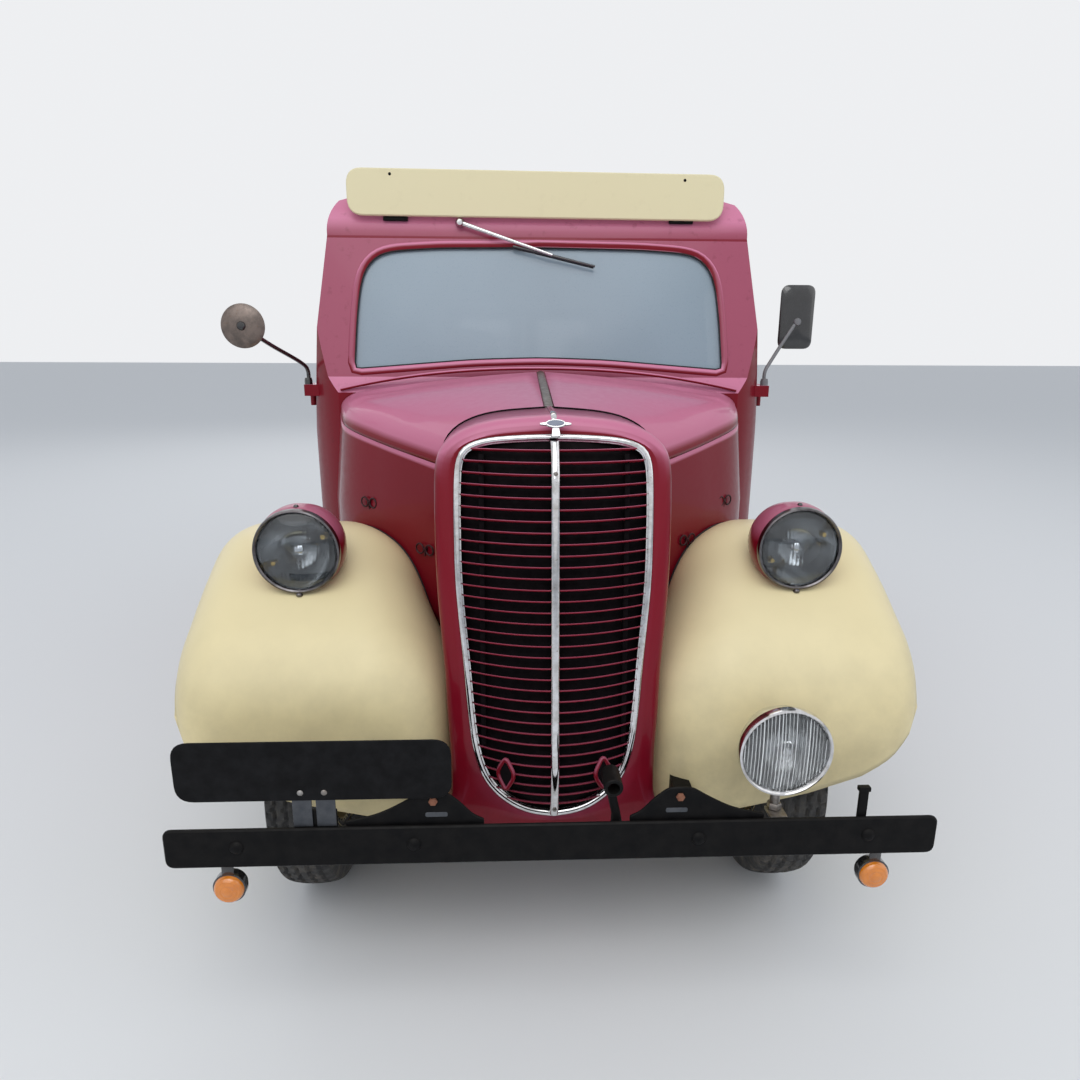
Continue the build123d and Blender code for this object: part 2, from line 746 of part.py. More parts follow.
chrome_face = fillet([v for v in chrome_face.vertices() if 440 < v.Y < 1250], 40)
grille_hole_face = offset(chrome_face, -12, kind=Kind.INTERSECTION)
cut_back = Plane((0, nose_rear_y + 1, 0), x_dir=(1, 0, 0), z_dir=(0, -1, 0))
grille_hole = extrude(cut_back * grille_hole_face, 500)
nose = nose_block - nose_hollow - grille_hole
nose = nose - span(-300, 300, nose_front_y(392) + 60, 0, 300, 500)

chrome_outer = extrude(cut_back * chrome_face, 500)
trim_face = offset(chrome_face, -12, kind=Kind.INTERSECTION)
trim_slab = (Pos(0, -5, 0) * along_x(
    [(nose_front_y(300), 300), (nose_front_y(1400), 1400), (nose_front_y(1400) + 5, 1400),
     (nose_front_y(300) + 5, 300)], -900, 900,
))
trim = (chrome_outer - extrude(cut_back * trim_face, 500)) & trim_slab

bulge_radius = (grille_half ** 2 + grille_bulge ** 2) / (2 * grille_bulge)
tilt = math.atan(slope)
bulge_axis = Plane(
    origin=(0, nose_front_y(850) + bulge_radius - grille_bulge, 850),
    z_dir=(0, math.sin(tilt), math.cos(tilt)),
)
bar_tube = bulge_axis * (Cylinder(bulge_radius, 1200) - Cylinder(bulge_radius - 9, 1300))
bar_zone = extrude(cut_back * offset(chrome_face, -12.3, kind=Kind.INTERSECTION), 500)
bar_sheet = bar_tube & bar_zone
slabs = []
for index in range(grille_bars):
    z = grille_top_z - index * grille_pitch
    slabs.append(span(-300, 300, yf(-700), yf(-100), z - bar_height / 2, z + bar_height / 2))
bars = bar_sheet & Compound(children=slabs)
spine_zone = [span(x - 5, x + 5, yf(-700), yf(-100), 445, 1240) for x in (-150, 0, 150)]
spine_tube = bulge_axis * (Cylinder(bulge_radius - 8, 1200) - Cylinder(bulge_radius - 20, 1300))
spines = (spine_tube & bar_zone) & Compound(children=spine_zone)
grille = bars + spines
save("grille_bars", grille)
centre_bar = (bulge_axis * (Cylinder(bulge_radius + 8, 1200) - Cylinder(bulge_radius, 1300))) & (
    span(-9, 9, yf(-700), yf(-100), 446, 1240)
)
save("grille_surround", [trim, centre_bar])

# Bonnet tops with their centre strip, and the sides held by wing nuts


def between(rows):
    """The rows with one more between each two, on a smooth curve through them."""
    finer = [rows[0]]
    for index in range(len(rows) - 1):
        before = rows[max(index - 1, 0)]
        here = rows[index]
        there = rows[index + 1]
        after = rows[min(index + 2, len(rows) - 1)]
        finer.append(tuple(
            (9 * (b + c) - a - d) / 16 for a, b, c, d in zip(before, here, there, after)
        ))
        finer.append(there)
    return finer


def strip_z(y):
    share = (y - bonnet_front_y) / (bonnet_rear_y - bonnet_front_y)
    return strip_front_z + share * (strip_rear_z - strip_front_z)


# Each row: Y, the crease's place, the place where the side turns straight down, and its lower edge
bonnet_rows = between((
    (bonnet_front_y, 252, 1192, 258, 925, 745),
    (yf(20), 415, 1222, 432, 1004, 850),
    (yf(170), 535, 1250, 556, 1000, 870),
    (bonnet_rear_y, 590, 1272, 616, 985, 700),
))


def flank_x(row, z):
    """Half width of the bonnet's side at this height above its bend."""
    y, crease_x, crease_z, low_x, low_z, skirt_z = row
    top = crease_z - crease_drop
    return crease_x + (low_x - crease_x) * (top - z) / (top - low_z)


def sheet_section(y, outer, inner):
    edges = [Line(a, b) if len(c) == 0 else ThreePointArc(a, c[0], b) for a, b, c in outer]
    edges.append(Line(outer[-1][1], inner[0][0]))
    edges += [Line(a, b) if len(c) == 0 else ThreePointArc(a, c[0], b) for a, b, c in inner]
    edges.append(Line(inner[-1][1], outer[0][0]))
    return Plane((0, y, 0), x_dir=(1, 0, 0), z_dir=(0, -1, 0)) * make_face(Curve() + edges)


def top_section(row):
    """A bonnet top, from the centre hinge over the crease to its lip."""
    y, crease_x, crease_z, low_x, low_z, skirt_z = row
    s = bonnet_sheet
    top_z = strip_z(y)
    lip_z = crease_z - crease_drop - bonnet_lip
    lip_x = flank_x(row, lip_z)
    shoulder = (crease_x - 60, crease_z + 22)
    crown = (crease_x - 18, crease_z + 2)
    brink = (crease_x, crease_z - crease_drop)
    outer = [
        ((strip_half + 0.6, top_z), shoulder, ()),
        (shoulder, brink, (crown,)),
        (brink, (lip_x, lip_z), ()),
    ]
    inner_brink = (crease_x - s, crease_z - crease_drop - 1)
    inner_shoulder = (crease_x - 60 - s / 2, crease_z + 22 - s)
    inner = [
        ((lip_x - s, lip_z), inner_brink, ()),
        (inner_brink, inner_shoulder, ((crease_x - 18 - s, crease_z + 2 - s),)),
        (inner_shoulder, (strip_half + 0.6, top_z - s), ()),
    ]
    return sheet_section(y, outer, inner)


def side_section(row):
    """A bonnet side, from under the lip down behind the wing's inner edge."""
    y, crease_x, crease_z, low_x, low_z, skirt_z = row
    s = bonnet_sheet
    top = crease_z - crease_drop - bonnet_lip - side_seam
    top_x = flank_x(row, top)
    outer = [((top_x, top), (low_x, low_z), ()), ((low_x, low_z), (low_x, skirt_z), ())]
    inner = [((low_x - s, skirt_z), (low_x - s, low_z), ()), ((low_x - s, low_z), (top_x - s, top), ())]
    return sheet_section(y, outer, inner)


bonnet_left = loft([top_section(row) for row in bonnet_rows], ruled=True)
save("bonnet_left", bonnet_left)
save("bonnet_right", flip(bonnet_left))
flank_front = 250 - nose_wall / 2 + bonnet_sheet / 2
first = bonnet_rows[0]
flank_rows = [
    (nose_rear_y - panel_gap, flank_front - seat_gap, first[2], flank_front, first[4], first[5])
] + bonnet_rows
bonnet_side = loft([side_section(row) for row in flank_rows], ruled=True)
strip = along_x(
    [(nose_rear_y - 3, strip_z(nose_rear_y) - 6), (bonnet_rear_y, strip_rear_z - 6),
     (body_front_y, strip_rear_z - 6), (body_front_y, strip_rear_z + 1),
     (bonnet_rear_y, strip_rear_z + 1), (nose_rear_y - 3, strip_z(nose_rear_y) + 1)],
    -strip_half, strip_half,
)
strip = strip - body_outer
strip = strip - nose
save("nose_shell", [fuse([nose, bonnet_side, flip(bonnet_side)]), strip])

# Front wings
wing_centre_y = 20
wing_centre_z = 420
wing_rows = (
    (-448, 415, 214, wing_half - 24, 240, 130, 110),
    (-466, 600, 214, wing_half - 2, 240, 165, 120),
    (-450, 720, 216, wing_half, 250, 190, 130),
    (-400, 810, 224, wing_half, 260, 205, 140),
    (-320, 876, 246, wing_half, 260, 215, 150),
    (-190, 940, 300, wing_half, 260, 215, 145),
    (-50, 974, 366, wing_half, 260, 190, 135),
    (140, 938, 470, wing_half - 2, 260, 120, 135),
    (290, 830, 560, wing_half - 6, 250, 80, 130),
    (420, 665, 600, wing_half - 14, 240, 60, 120),
    (528, 500, 620, wing_half - 24, 230, 40, 110),
)


wing_sections = between(wing_rows)


def wing_section(row, inset):
    y, z, x_in, x_out, depth, r_in, r_out = row
    normal = Vector(0, y - wing_centre_y, z - wing_centre_z).normalized()
    plane = Plane(origin=(0, yf(y), z), x_dir=(1, 0, 0), z_dir=Vector(1, 0, 0).cross(normal))
    a = x_in + inset
    b = x_out - inset
    top = -inset
    ri = r_in - inset
    ro = r_out - inset
    q = 1 - math.sqrt(0.5)
    floor_h = -depth - 3 * inset
    flank = a - 15 * inset
    edges = [
        ThreePointArc((a, top - ri), (a + ri * q, top - ri * q), (a + ri, top)),
        Line((a + ri, top), (b - ro, top)),
        ThreePointArc((b - ro, top), (b - ro * q, top - ro * q), (b, top - ro)),
        Line((b, top - ro), (b, floor_h)),
        Line((b, floor_h), (flank, floor_h)),
    ]
    if inset:
        edges.append(Line((flank, floor_h), (flank, top - ri)))
        edges.append(Line((flank, top - ri), (a, top - ri)))
    else:
        edges.append(Line((flank, floor_h), (a, top - ri)))
    return plane * make_face(Curve() + edges)


wing_outer = loft([wing_section(row, 0) for row in wing_sections], ruled=True)
wing_inner = loft([wing_section(row, wing_sheet) for row in wing_sections], ruled=True)
plan_cut = along_z(
    [(-250 - seat_gap, yf(-520)), (250 + seat_gap, yf(-520)), (250 + seat_gap, nose_rear_y)]
    + [(row[3] + panel_gap, row[0]) for row in bonnet_rows]
    + [(bonnet_rows[-1][3] + panel_gap, yf(400)), (-bonnet_rows[-1][3], yf(400))], 300, 1400,
)
under_front = along_y(
    [(150, 300), (900, 300), (900, 690), (796, 662), (744, 560), (680, 510), (569, 468), (478, 444),
     (341, 412), (236, 421), (150, 430)], yf(-600), yf(-200),
)
wheel_well = rod((470, front_axle_y, axle_z), (900, front_axle_y, axle_z), wing_arch_radius)
nose_solid = extrude(cut_back * offset(nose_face, seat_gap, kind=Kind.INTERSECTION), 500)
iron_slot = span(250, 346, yf(-500), yf(-240), 425, 510)
wing = wing_outer - wing_inner
wing = wing - nose_solid
wing = wing - plan_cut
wing = wing - body_solid(-seat_gap)
wing = wing - under_front
wing = wing - wheel_well
wing = wing - iron_slot
wing = wing - span(100, 900, yf(0), yf(600), 300, 465)
wing_pieces = sorted(wing.solids(), key=lambda s: -s.volume)
wing_left = wing_pieces[0]
save("front_wing_left", wing_left)
save("front_wing_right", flip(wing_left))

# Running boards and rear wings
tail_parts = []
for side in (1, -1):
    board = span(side * 668, side * 805, yf(522), rear_axle_y - 424, 492, 499)
    lip = span(side * 797, side * 805, yf(522), rear_axle_y - 424, 462, 492)
    tail_parts.append(board + lip)
    arch_ring = rod(
        (side * 660, rear_axle_y, axle_z), (side * 800, rear_axle_y, axle_z), 424
    ) - rod((side * 600, rear_axle_y, axle_z), (side * 796, rear_axle_y, axle_z), 420)
    arch_ring = arch_ring - rod(
        (side * 600, rear_axle_y, axle_z), (side * 900, rear_axle_y, axle_z), 375
    )
    arch_ring = arch_ring - body_outer
    arch_ring = arch_ring - span(-900, 900, rear_axle_y - 500, rear_axle_y + 500, -200, 400)
    tail_parts.append(arch_ring)
save("rear_wings", tail_parts)

# Head lamps on the wings
crest = [(yf(row[0]), row[1]) for row in wing_sections[:15]]
wing_under = along_x(crest + [(crest[-1][0], 300), (crest[0][0], 300)], -900, 900)
for side, word in ((1, "left"), (-1, "right")):
    x = side * head_lamp_x
    r = head_lamp_radius
    bowl = bowl_of(r - 4, -14, 176)
    bowl = Pos(x, head_lamp_y, head_lamp_z) * bowl
    foot = span(x - 26, x + 26, head_lamp_y + 20, head_lamp_y + 120, head_lamp_z - 170, head_lamp_z - 60)
    bowl = bowl + foot
    bowl = bowl - wing_under
    bowl = max(bowl.solids(), key=lambda s: s.volume)
    rim_profile = [
        (r - 14, -14), (r + 2, -14), (r + 2, -30), (r - 6, -38), (r - 14, -34),
    ]
    rim = revolve(make_face(Polyline(*rim_profile, close=True)), Axis.Y)
    rim = Pos(x, head_lamp_y, head_lamp_z) * rim - wing_under
    lens = lens_of(r - 14, -22, 8, 24)
    lens = Pos(x, head_lamp_y, head_lamp_z) * lens - wing_under
    save("head_lamp_" + word, [bowl, rim, lens])

# Front bumper with its brackets and gussets
bumper = along_y(
    [(-bumper_half, bumper_bottom_z), (bumper_half, bumper_bottom_z), (bumper_half, bumper_top_z),
     (-bumper_half, bumper_top_z)], bumper_back_y - 10, bumper_back_y, 20,
)
for x in (-633, -285, 285, 633):
    bumper = bumper + rod((x, bumper_back_y - 10, 466), (x, front_end_y + 4, 466), 14)
save("front_bumper", bumper)

# Number plate on its straps
plate = along_y(
    [(plate_x - plate_width / 2, plate_z - plate_height / 2),
     (plate_x + plate_width / 2, plate_z - plate_height / 2),
     (plate_x + plate_width / 2, plate_z + plate_height / 2),
     (plate_x - plate_width / 2, plate_z + plate_height / 2)],
    bumper_back_y - 8, bumper_back_y - 4, 18,
)
for x in (plate_x - 18, plate_x + 18):
    plate = plate + span(x - 8, x + 8, bumper_back_y - 4, bumper_back_y, bumper_top_z, plate_z + 40)
plate = plate + span(plate_x - 26, plate_x + 26, bumper_back_y, bumper_back_y + 5, 470, bumper_top_z + 30)
save("number_plate", plate)

# Fog lamp on its stem
fog_y = bumper_back_y + 10
fog_bowl = bowl_of(fog_lamp_radius - 4, -10, 90)
fog = Pos(fog_lamp_x, fog_y, fog_lamp_z) * fog_bowl
fog = fog + rod((fog_lamp_x, fog_y + 22, 470), (fog_lamp_x, fog_y + 22, fog_lamp_z - 60), 9)
fog = fog + span(fog_lamp_x - 14, fog_lamp_x + 14, bumper_back_y, fog_y + 30, 470, 500)
fog_glass = lens_of(fog_lamp_radius, -10, 8, 10)
save("fog_lamp", [fog, Pos(fog_lamp_x, fog_y, fog_lamp_z) * fog_glass])

# Starting handle guide
guide_y = bumper_back_y + 12
guide = rod((109, guide_y - 30, 587), (109, guide_y + 30, 587), 19)
guide = guide + rod((109, guide_y + 10, 570), (122, guide_y + 10, 480), 9)
guide = guide + span(108, 136, bumper_back_y, guide_y + 18, 470, 490)
guide = guide - rod((109, guide_y - 40, 587), (109, guide_y + 40, 587), 12)
save("handle_guide", guide)

# Indicator lamps under the bumper
lamps = []
for side in (1, -1):
    x = side * indicator_x
    lamp = rod((x, bumper_back_y - 14, indicator_z), (x, bumper_back_y + 26, indicator_z), indicator_radius)
    strap = span(x - 12, x + 12, bumper_back_y, bumper_back_y + 4, indicator_z, 500)
    lamps.append(lamp + strap)
save("indicators", lamps)

# Roof sign on two brackets
sign_y = yf(495)
sign = along_y(
    [(-sign_half, sign_low_z), (sign_half, sign_low_z), (sign_half, sign_high_z), (-sign_half, sign_high_z)],
    sign_y, sign_y + 18, 42,
)
for x in (-sign_bracket_x, sign_bracket_x):
    bracket = span(x - 36, x + 36, sign_y + 18, sign_y + 24, sign_low_z - 12, sign_high_z - 12)
    bracket = bracket + span(x - 36, x + 36, sign_y + 10, sign_y + 90, sign_low_z - 16, sign_low_z)
    bracket = bracket - body_outer
    sign = sign + bracket
sign = max(sign.solids(), key=lambda s: s.volume)
save("sign_board", sign)

# Mirrors on the upper hinge blocks
arm_root_y = door_hinge_y - 60
arm_root_z = door_hinge_z[1] + 34
right_head = rod(
    (mirror_right_x, mirror_right_y - mirror_head_front, mirror_right_z),
    (mirror_right_x, mirror_right_y + mirror_head_back, mirror_right_z), mirror_round_radius,
)
right_arm = bent_rod(
    [(-door_hinge_x + 3, arm_root_y, arm_root_z), (-door_hinge_x + 3, arm_root_y, arm_root_z + 50),
     (mirror_right_x + 5, mirror_right_y + 20, mirror_right_z - 20),
     (mirror_right_x, mirror_right_y + mirror_head_back, mirror_right_z)], mirror_arm_radius,
)
save("mirror_right", right_head + right_arm)
left_head = along_y(
    [(mirror_left_x - mirror_left_half, mirror_left_low_z), (mirror_left_x + mirror_left_half, mirror_left_low_z),
     (mirror_left_x + mirror_left_half, mirror_left_high_z), (mirror_left_x - mirror_left_half, mirror_left_high_z)],
    mirror_left_y - mirror_head_front, mirror_left_y + mirror_head_back, 20,
)
left_arm = bent_rod(
    [(door_hinge_x - 3, arm_root_y, arm_root_z), (door_hinge_x - 3, arm_root_y, arm_root_z + 50),
     (mirror_left_x, mirror_left_y + 2, (mirror_left_low_z + mirror_left_high_z) / 2 - 14)], mirror_arm_radius,
)
save("mirror_left", left_head + left_arm)

# Wiper
wiper_x = -227
wiper_z = screen_top_z + 45
wiper = rod((wiper_x, screen_top_y + 22, wiper_z), (wiper_x, screen_top_y - 22, wiper_z), 9)
wiper = wiper + rod(
    (wiper_x, screen_top_y - 16, wiper_z), (wiper_x + 265, screen_top_y - 26, wiper_z - 70), 4
)
wiper = wiper + rod(
    (wiper_x + 148, screen_top_y - 22, wiper_z - 46), (wiper_x + 393, screen_top_y - 34, wiper_z - 103), 5
)
wiper = wiper - body_outer
wiper = max(wiper.solids(), key=lambda s: s.volume)
save("wiper", wiper)

# Steering column and wheel
rake = math.radians(steering_rake)
axis_dir = Vector(0, -math.sin(rake), -math.cos(rake))
hub = Vector(*wheel_hub)
column_top = hub + axis_dir * (13 + seat_gap)
column_end = hub + axis_dir * 860
column = rod(tuple(column_top), tuple(column_end), 16)
column = column + span(-rail_inner_x, -225, column_end.Y - 45, column_end.Y + 45, rail_top_z - 60, rail_top_z + 60)
column = column + span(-290, -228, yf(408), yf(610), 1225, 1262)
save("steering_column", column)
wheel_plane = Plane(origin=wheel_hub, x_dir=(1, 0, 0), z_dir=-axis_dir)
ring = wheel_plane * Torus(steering_radius, 11)
spokes = [
    wheel_plane * (Rot(0, 0, a) * (Pos(steering_radius / 2, 0, 0) * Box(steering_radius, 14, 6)))
    for a in (90, 210, 330)
]
boss = wheel_plane * Cylinder(28, 26)
save("steering_wheel", fuse([ring, boss] + spokes))

# Dashboard shelf, seats and counter
dash = along_x(
    [(yf(409), 1200), (yf(560), 1200), (yf(560), 1300), (yf(409), 1310)], -600, 600, 12
)
dash = dash & body_inner
dash = dash - span(-320, -200, yf(380), yf(640), 1100, 1400)
cab_fittings = [dash]
seats = []
for side in (-1, 1):
    seat_x = side * 330
    base = along_x(
        [(yf(850), floor_top_z), (yf(1180), floor_top_z), (yf(1180), 930), (yf(850), 930)],
        seat_x - 190, seat_x + 190,
    )
    cab_fittings.append(base)
    cushion = along_x(
        [(yf(820), 930 + seat_gap), (yf(1230), 930 + seat_gap), (yf(1230), 1020), (yf(820), 1030)],
        seat_x - 215, seat_x + 215, 30,
    )
    back = along_x(
        [(yf(1185), 1020 + seat_gap), (yf(1262), 1020 + seat_gap), (yf(1330), 1470), (yf(1250), 1470)],
        seat_x - 215, seat_x + 215, 22,
    )
    seats.append(cushion)
    seats.append(back)
save("cab_fittings", cab_fittings)
save("seats", seats)
cabinet_rear_y = body_rear_y - 400
cabinet = span(215, 515, yf(1360), cabinet_rear_y, floor_top_z, 1090)
cabinet = cabinet - span(240, 490, yf(1385), cabinet_rear_y - 25, floor_top_z + 60, 1091)
worktop = span(205, 660, yf(1350), cabinet_rear_y + 10, 1090, 1115) & body_inner
save("freezer_counter", [cabinet, worktop])

# Rear bumper, plate and lamps
rear_bumper = along_y(
    [(-640, 440), (640, 440), (640, 520), (-640, 520)], rear_end_y - 12, rear_end_y, 18
)
for side in (1, -1):
    rear_bumper = rear_bumper + span(
        side * rail_inner_x, side * rail_outer_x, rail_rear_y - 90, rear_end_y - 12, 455, rail_bottom_z
    )
save("rear_bumper", rear_bumper)
lamps = []
for side in (1, -1):
    lamp = rod((side * 605, body_rear_y - 30, 620), (side * 605, rear_end_y - 8, 620), 36) - body_outer
    lamp = max(lamp.solids(), key=lambda s: s.volume)
    lamps.append(lamp)
save("rear_lamps", lamps)
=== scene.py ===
import bpy
import bmesh
import json
from math import atan2, cos, dist, exp, hypot, pi, radians, sin, sqrt
from mathutils import Matrix, Vector


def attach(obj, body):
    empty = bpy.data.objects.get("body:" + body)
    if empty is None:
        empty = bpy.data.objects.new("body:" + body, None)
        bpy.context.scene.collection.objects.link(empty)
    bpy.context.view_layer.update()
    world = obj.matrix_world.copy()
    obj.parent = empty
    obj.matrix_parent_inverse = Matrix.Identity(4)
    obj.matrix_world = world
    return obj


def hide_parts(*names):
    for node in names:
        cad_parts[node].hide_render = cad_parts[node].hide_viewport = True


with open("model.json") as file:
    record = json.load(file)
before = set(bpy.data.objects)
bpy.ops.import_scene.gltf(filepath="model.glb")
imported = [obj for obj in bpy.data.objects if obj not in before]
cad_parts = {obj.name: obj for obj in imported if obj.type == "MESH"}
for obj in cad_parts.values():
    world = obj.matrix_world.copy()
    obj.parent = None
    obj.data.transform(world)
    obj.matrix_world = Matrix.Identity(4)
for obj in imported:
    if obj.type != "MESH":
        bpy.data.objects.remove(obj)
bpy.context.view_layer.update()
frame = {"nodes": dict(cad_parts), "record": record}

NODES = frame["nodes"]

# Sizes and places, in millimetres; Y runs backwards from the middle of the vehicle
MM = 0.001
AXLE_Y = -1365
REAR_AXLE_Y = AXLE_Y + 2286
AXLE_Z = 356
BODY_REAR_Y = 1935
BEAM_Y = -1958
AHEAD = (0, -1, 0)
BACKWARD = (0, 1, 0)
OUTWARD = (1, 0, 0)
UP = (0, 0, 1)
# Whether a piece is mirrored, or the sign of its x, with its side's name
SIDES = ((False, "left"), (True, "right"))
SIGNS = ((1, "left"), (-1, "right"))
HALF_ROUND = [(cos(pi * j / 8), sin(pi * j / 8)) for j in range(9)]


def yf(distance):
    """The y of a place that far behind the front axle."""
    return AXLE_Y + distance


def moved(at, x, y, z):
    return (at[0] + x, at[1] + y, at[2] + z)


def between(start, end, steps):
    """Evenly spaced numbers from start to end."""
    return [start + (end - start) * k / steps for k in range(steps + 1)]


# Shapes in millimetres: lines and outlines first, then solids as points and faces
def catmull(points, steps, closed=False):
    """A smooth line through the points, with that many steps between each two."""
    n = len(points)
    out = []
    last = n if closed else n - 1
    for i in range(last):
        if closed:
            p0, p1, p2, p3 = (points[(i + k) % n] for k in (-1, 0, 1, 2))
        else:
            p0, p1, p2, p3 = (points[min(max(i + k, 0), n - 1)] for k in (-1, 0, 1, 2))
        for s in range(steps):
            t = s / steps
            out.append(tuple(
                0.5 * (2 * b + (c - a) * t + (2 * a - 5 * b + 4 * c - d) * t * t
                       + (3 * b - a - 3 * c + d) * t ** 3)
                for a, b, c, d in zip(p0, p1, p2, p3)
            ))
    if not closed:
        out.append(tuple(points[-1]))
    return out


def rectangle(a0, a1, b0, b1):
    return [(a0, b0), (a1, b0), (a1, b1), (a0, b1)]


def rounded(points, radius, steps=5):
    """The closed outline with its corners rounded."""
    out = []
    n = len(points)
    for i in range(n):
        a, b, c = Vector(points[i - 1]), Vector(points[i]), Vector(points[(i + 1) % n])
        r = radius[i] if isinstance(radius, (list, tuple)) else radius
        cut_a = min(r, (a - b).length * 0.49)
        cut_c = min(r, (c - b).length * 0.49)
        start = b + (a - b).normalized() * cut_a
        end = b + (c - b).normalized() * cut_c
        for s in range(steps + 1):
            t = s / steps
            out.append(tuple(start * (1 - t) ** 2 + b * 2 * t * (1 - t) + end * t * t))
    return out


def inset(loop, distance):
    """The closed outline moved inwards by that distance."""
    n = len(loop)
    area = sum(loop[i - 1][0] * loop[i][1] - loop[i][0] * loop[i - 1][1] for i in range(n))
    turn = 1 if area > 0 else -1
    out = []
    for i in range(n):
        a, b = loop[i - 1], loop[(i + 1) % n]
        dx, dy = b[0] - a[0], b[1] - a[1]
        size = hypot(dx, dy) or 1
        out.append((loop[i][0] - turn * dy / size * distance, loop[i][1] + turn * dx / size * distance))
    return out


def spread(line, steps):
    """The open line as evenly spaced points, with that many steps between its ends."""
    lengths = [0.0]
    for a, b in zip(line[:-1], line[1:]):
        lengths.append(lengths[-1] + dist(a, b))
    out = []
    k = 0
    for i in range(steps + 1):
        want = lengths[-1] * i / steps
        while k < len(line) - 2 and lengths[k + 1] < want:
            k += 1
        t = (want - lengths[k]) / max(lengths[k + 1] - lengths[k], 1e-9)
        out.append(tuple(p * (1 - t) + q * t for p, q in zip(line[k], line[k + 1])))
    return out


def resample(loop, count):
    """The closed outline as that many evenly spaced points, from its first one."""
    return spread(loop + [loop[0]], count)[:-1]


def crossing(out, within, test):
    """Where the line from a point that fails the test to one that passes it starts to pass."""
    for _ in range(12):
        middle = tuple((p + q) / 2 for p, q in zip(out, within))
        if test(middle):
            within = middle
        else:
            out = middle
    return within


def grid(rows, close_rows=False, close_cols=False):
    """A sheet through rows of points, joined round in either direction if asked."""
    n, m = len(rows), len(rows[0])
    verts = [p for row in rows for p in row]
    faces = []
    for i in range(n if close_rows else n - 1):
        for j in range(m if close_cols else m - 1):
            a, b = i * m + j, i * m + (j + 1) % m
            c, d = ((i + 1) % n) * m + (j + 1) % m, ((i + 1) % n) * m + j
            faces.append((a, b, c, d))
    return verts, faces


def capped(rows):
    """A closed solid through the rows, which are its sections."""
    verts, faces = grid(rows, close_cols=True)
    m = len(rows[0])
    faces.append(tuple(reversed(range(m))))
    faces.append(tuple(range((len(rows) - 1) * m, len(rows) * m)))
    return verts, faces


def axes_of(axis):
    """The axis and two directions square to it, all of length 1."""
    a = Vector(axis).normalized()
    helper = Vector((0, 0, 1)) if abs(a.z) < 0.9 else Vector((1, 0, 0))
    u = helper.cross(a).normalized()
    return a, u, a.cross(u)


def turned(profile, origin, axis=AHEAD, count=48, closed=False):
    """A turned shape: the profile's (radius, distance) points round the axis."""
    a, u, v = axes_of(axis)
    o = Vector(origin)
    rings = []
    verts = []
    for r, d in profile:
        if r < 1e-6:
            rings.append([len(verts)] * count)
            verts.append(tuple(o + a * d))
            continue
        rings.append(list(range(len(verts), len(verts) + count)))
        for k in range(count):
            t = 2 * pi * k / count
            verts.append(tuple(o + a * d + (u * cos(t) + v * sin(t)) * r))
    faces = []
    pairs = list(zip(rings[:-1], rings[1:]))
    if closed:
        pairs.append((rings[-1], rings[0]))
    for one, two in pairs:
        for k in range(count):
            quad = [one[k], one[(k + 1) % count], two[(k + 1) % count], two[k]]
            face = [q for i, q in enumerate(quad) if q != quad[i - 1]]
            if len(face) > 2:
                faces.append(tuple(face))
    return verts, faces


def tube(points, radius, count=12, closed=False, flat=1.0):
    """A round bar along the points; radius is a number or one for each point."""
    pts = [Vector(p) for p in points]
    n = len(pts)
    rows = []
    u = None
    for i in range(n):
        ahead = pts[(i + 1) % n] if closed or i < n - 1 else pts[i]
        back = pts[i - 1] if closed or i > 0 else pts[i]
        t = (ahead - back).normalized()
        if u is None:
            u = axes_of(t)[1]
        u = (u - t * u.dot(t)).normalized()
        v = t.cross(u)
        r = radius[i] if isinstance(radius, (list, tuple)) else radius
        rows.append([
            tuple(pts[i] + u * cos(2 * pi * k / count) * r * flat
                  + v * sin(2 * pi * k / count) * r)
            for k in range(count)
        ])
    if closed:
        return grid(rows, close_rows=True, close_cols=True)
    return capped(rows)


def block(x0, x1, y0, y1, z0, z1, edge=1.5):
    """A bar with softened edges."""
    bm = bmesh.new()
    bmesh.ops.create_cube(bm, size=1)
    for v in bm.verts:
        v.co = Vector((
            x0 + (v.co.x + 0.5) * (x1 - x0), y0 + (v.co.y + 0.5) * (y1 - y0), z0 + (v.co.z + 0.5) * (z1 - z0)
        ))
    bmesh.ops.bevel(bm, geom=list(bm.edges), offset=edge, segments=2, affect="EDGES", profile=0.5)
    bm.verts.index_update()
    out = [tuple(v.co) for v in bm.verts], [tuple(v.index for v in f.verts) for f in bm.faces]
    bm.free()
    return out


def upright(y):
    """Places a plate's points across the vehicle, at depth d behind y."""
    return lambda a, b, d: (a, y + d, b)


def sheet_of(outline, place, thick, edge=1.2):
    """A flat plate with softened edges; place(a, b, d) puts an outline point at depth d."""
    inner = inset(outline, edge)
    rows = [
        [place(a, b, 0) for a, b in inner], [place(a, b, edge) for a, b in outline],
        [place(a, b, thick - edge) for a, b in outline], [place(a, b, thick) for a, b in inner],
    ]
    return capped(rows)


def rivet(at, axis=OUTWARD, radius=6):
    return turned([(0, 3), (4, 2.4), (radius, 0.4), (radius, -1)], at, axis, 16)


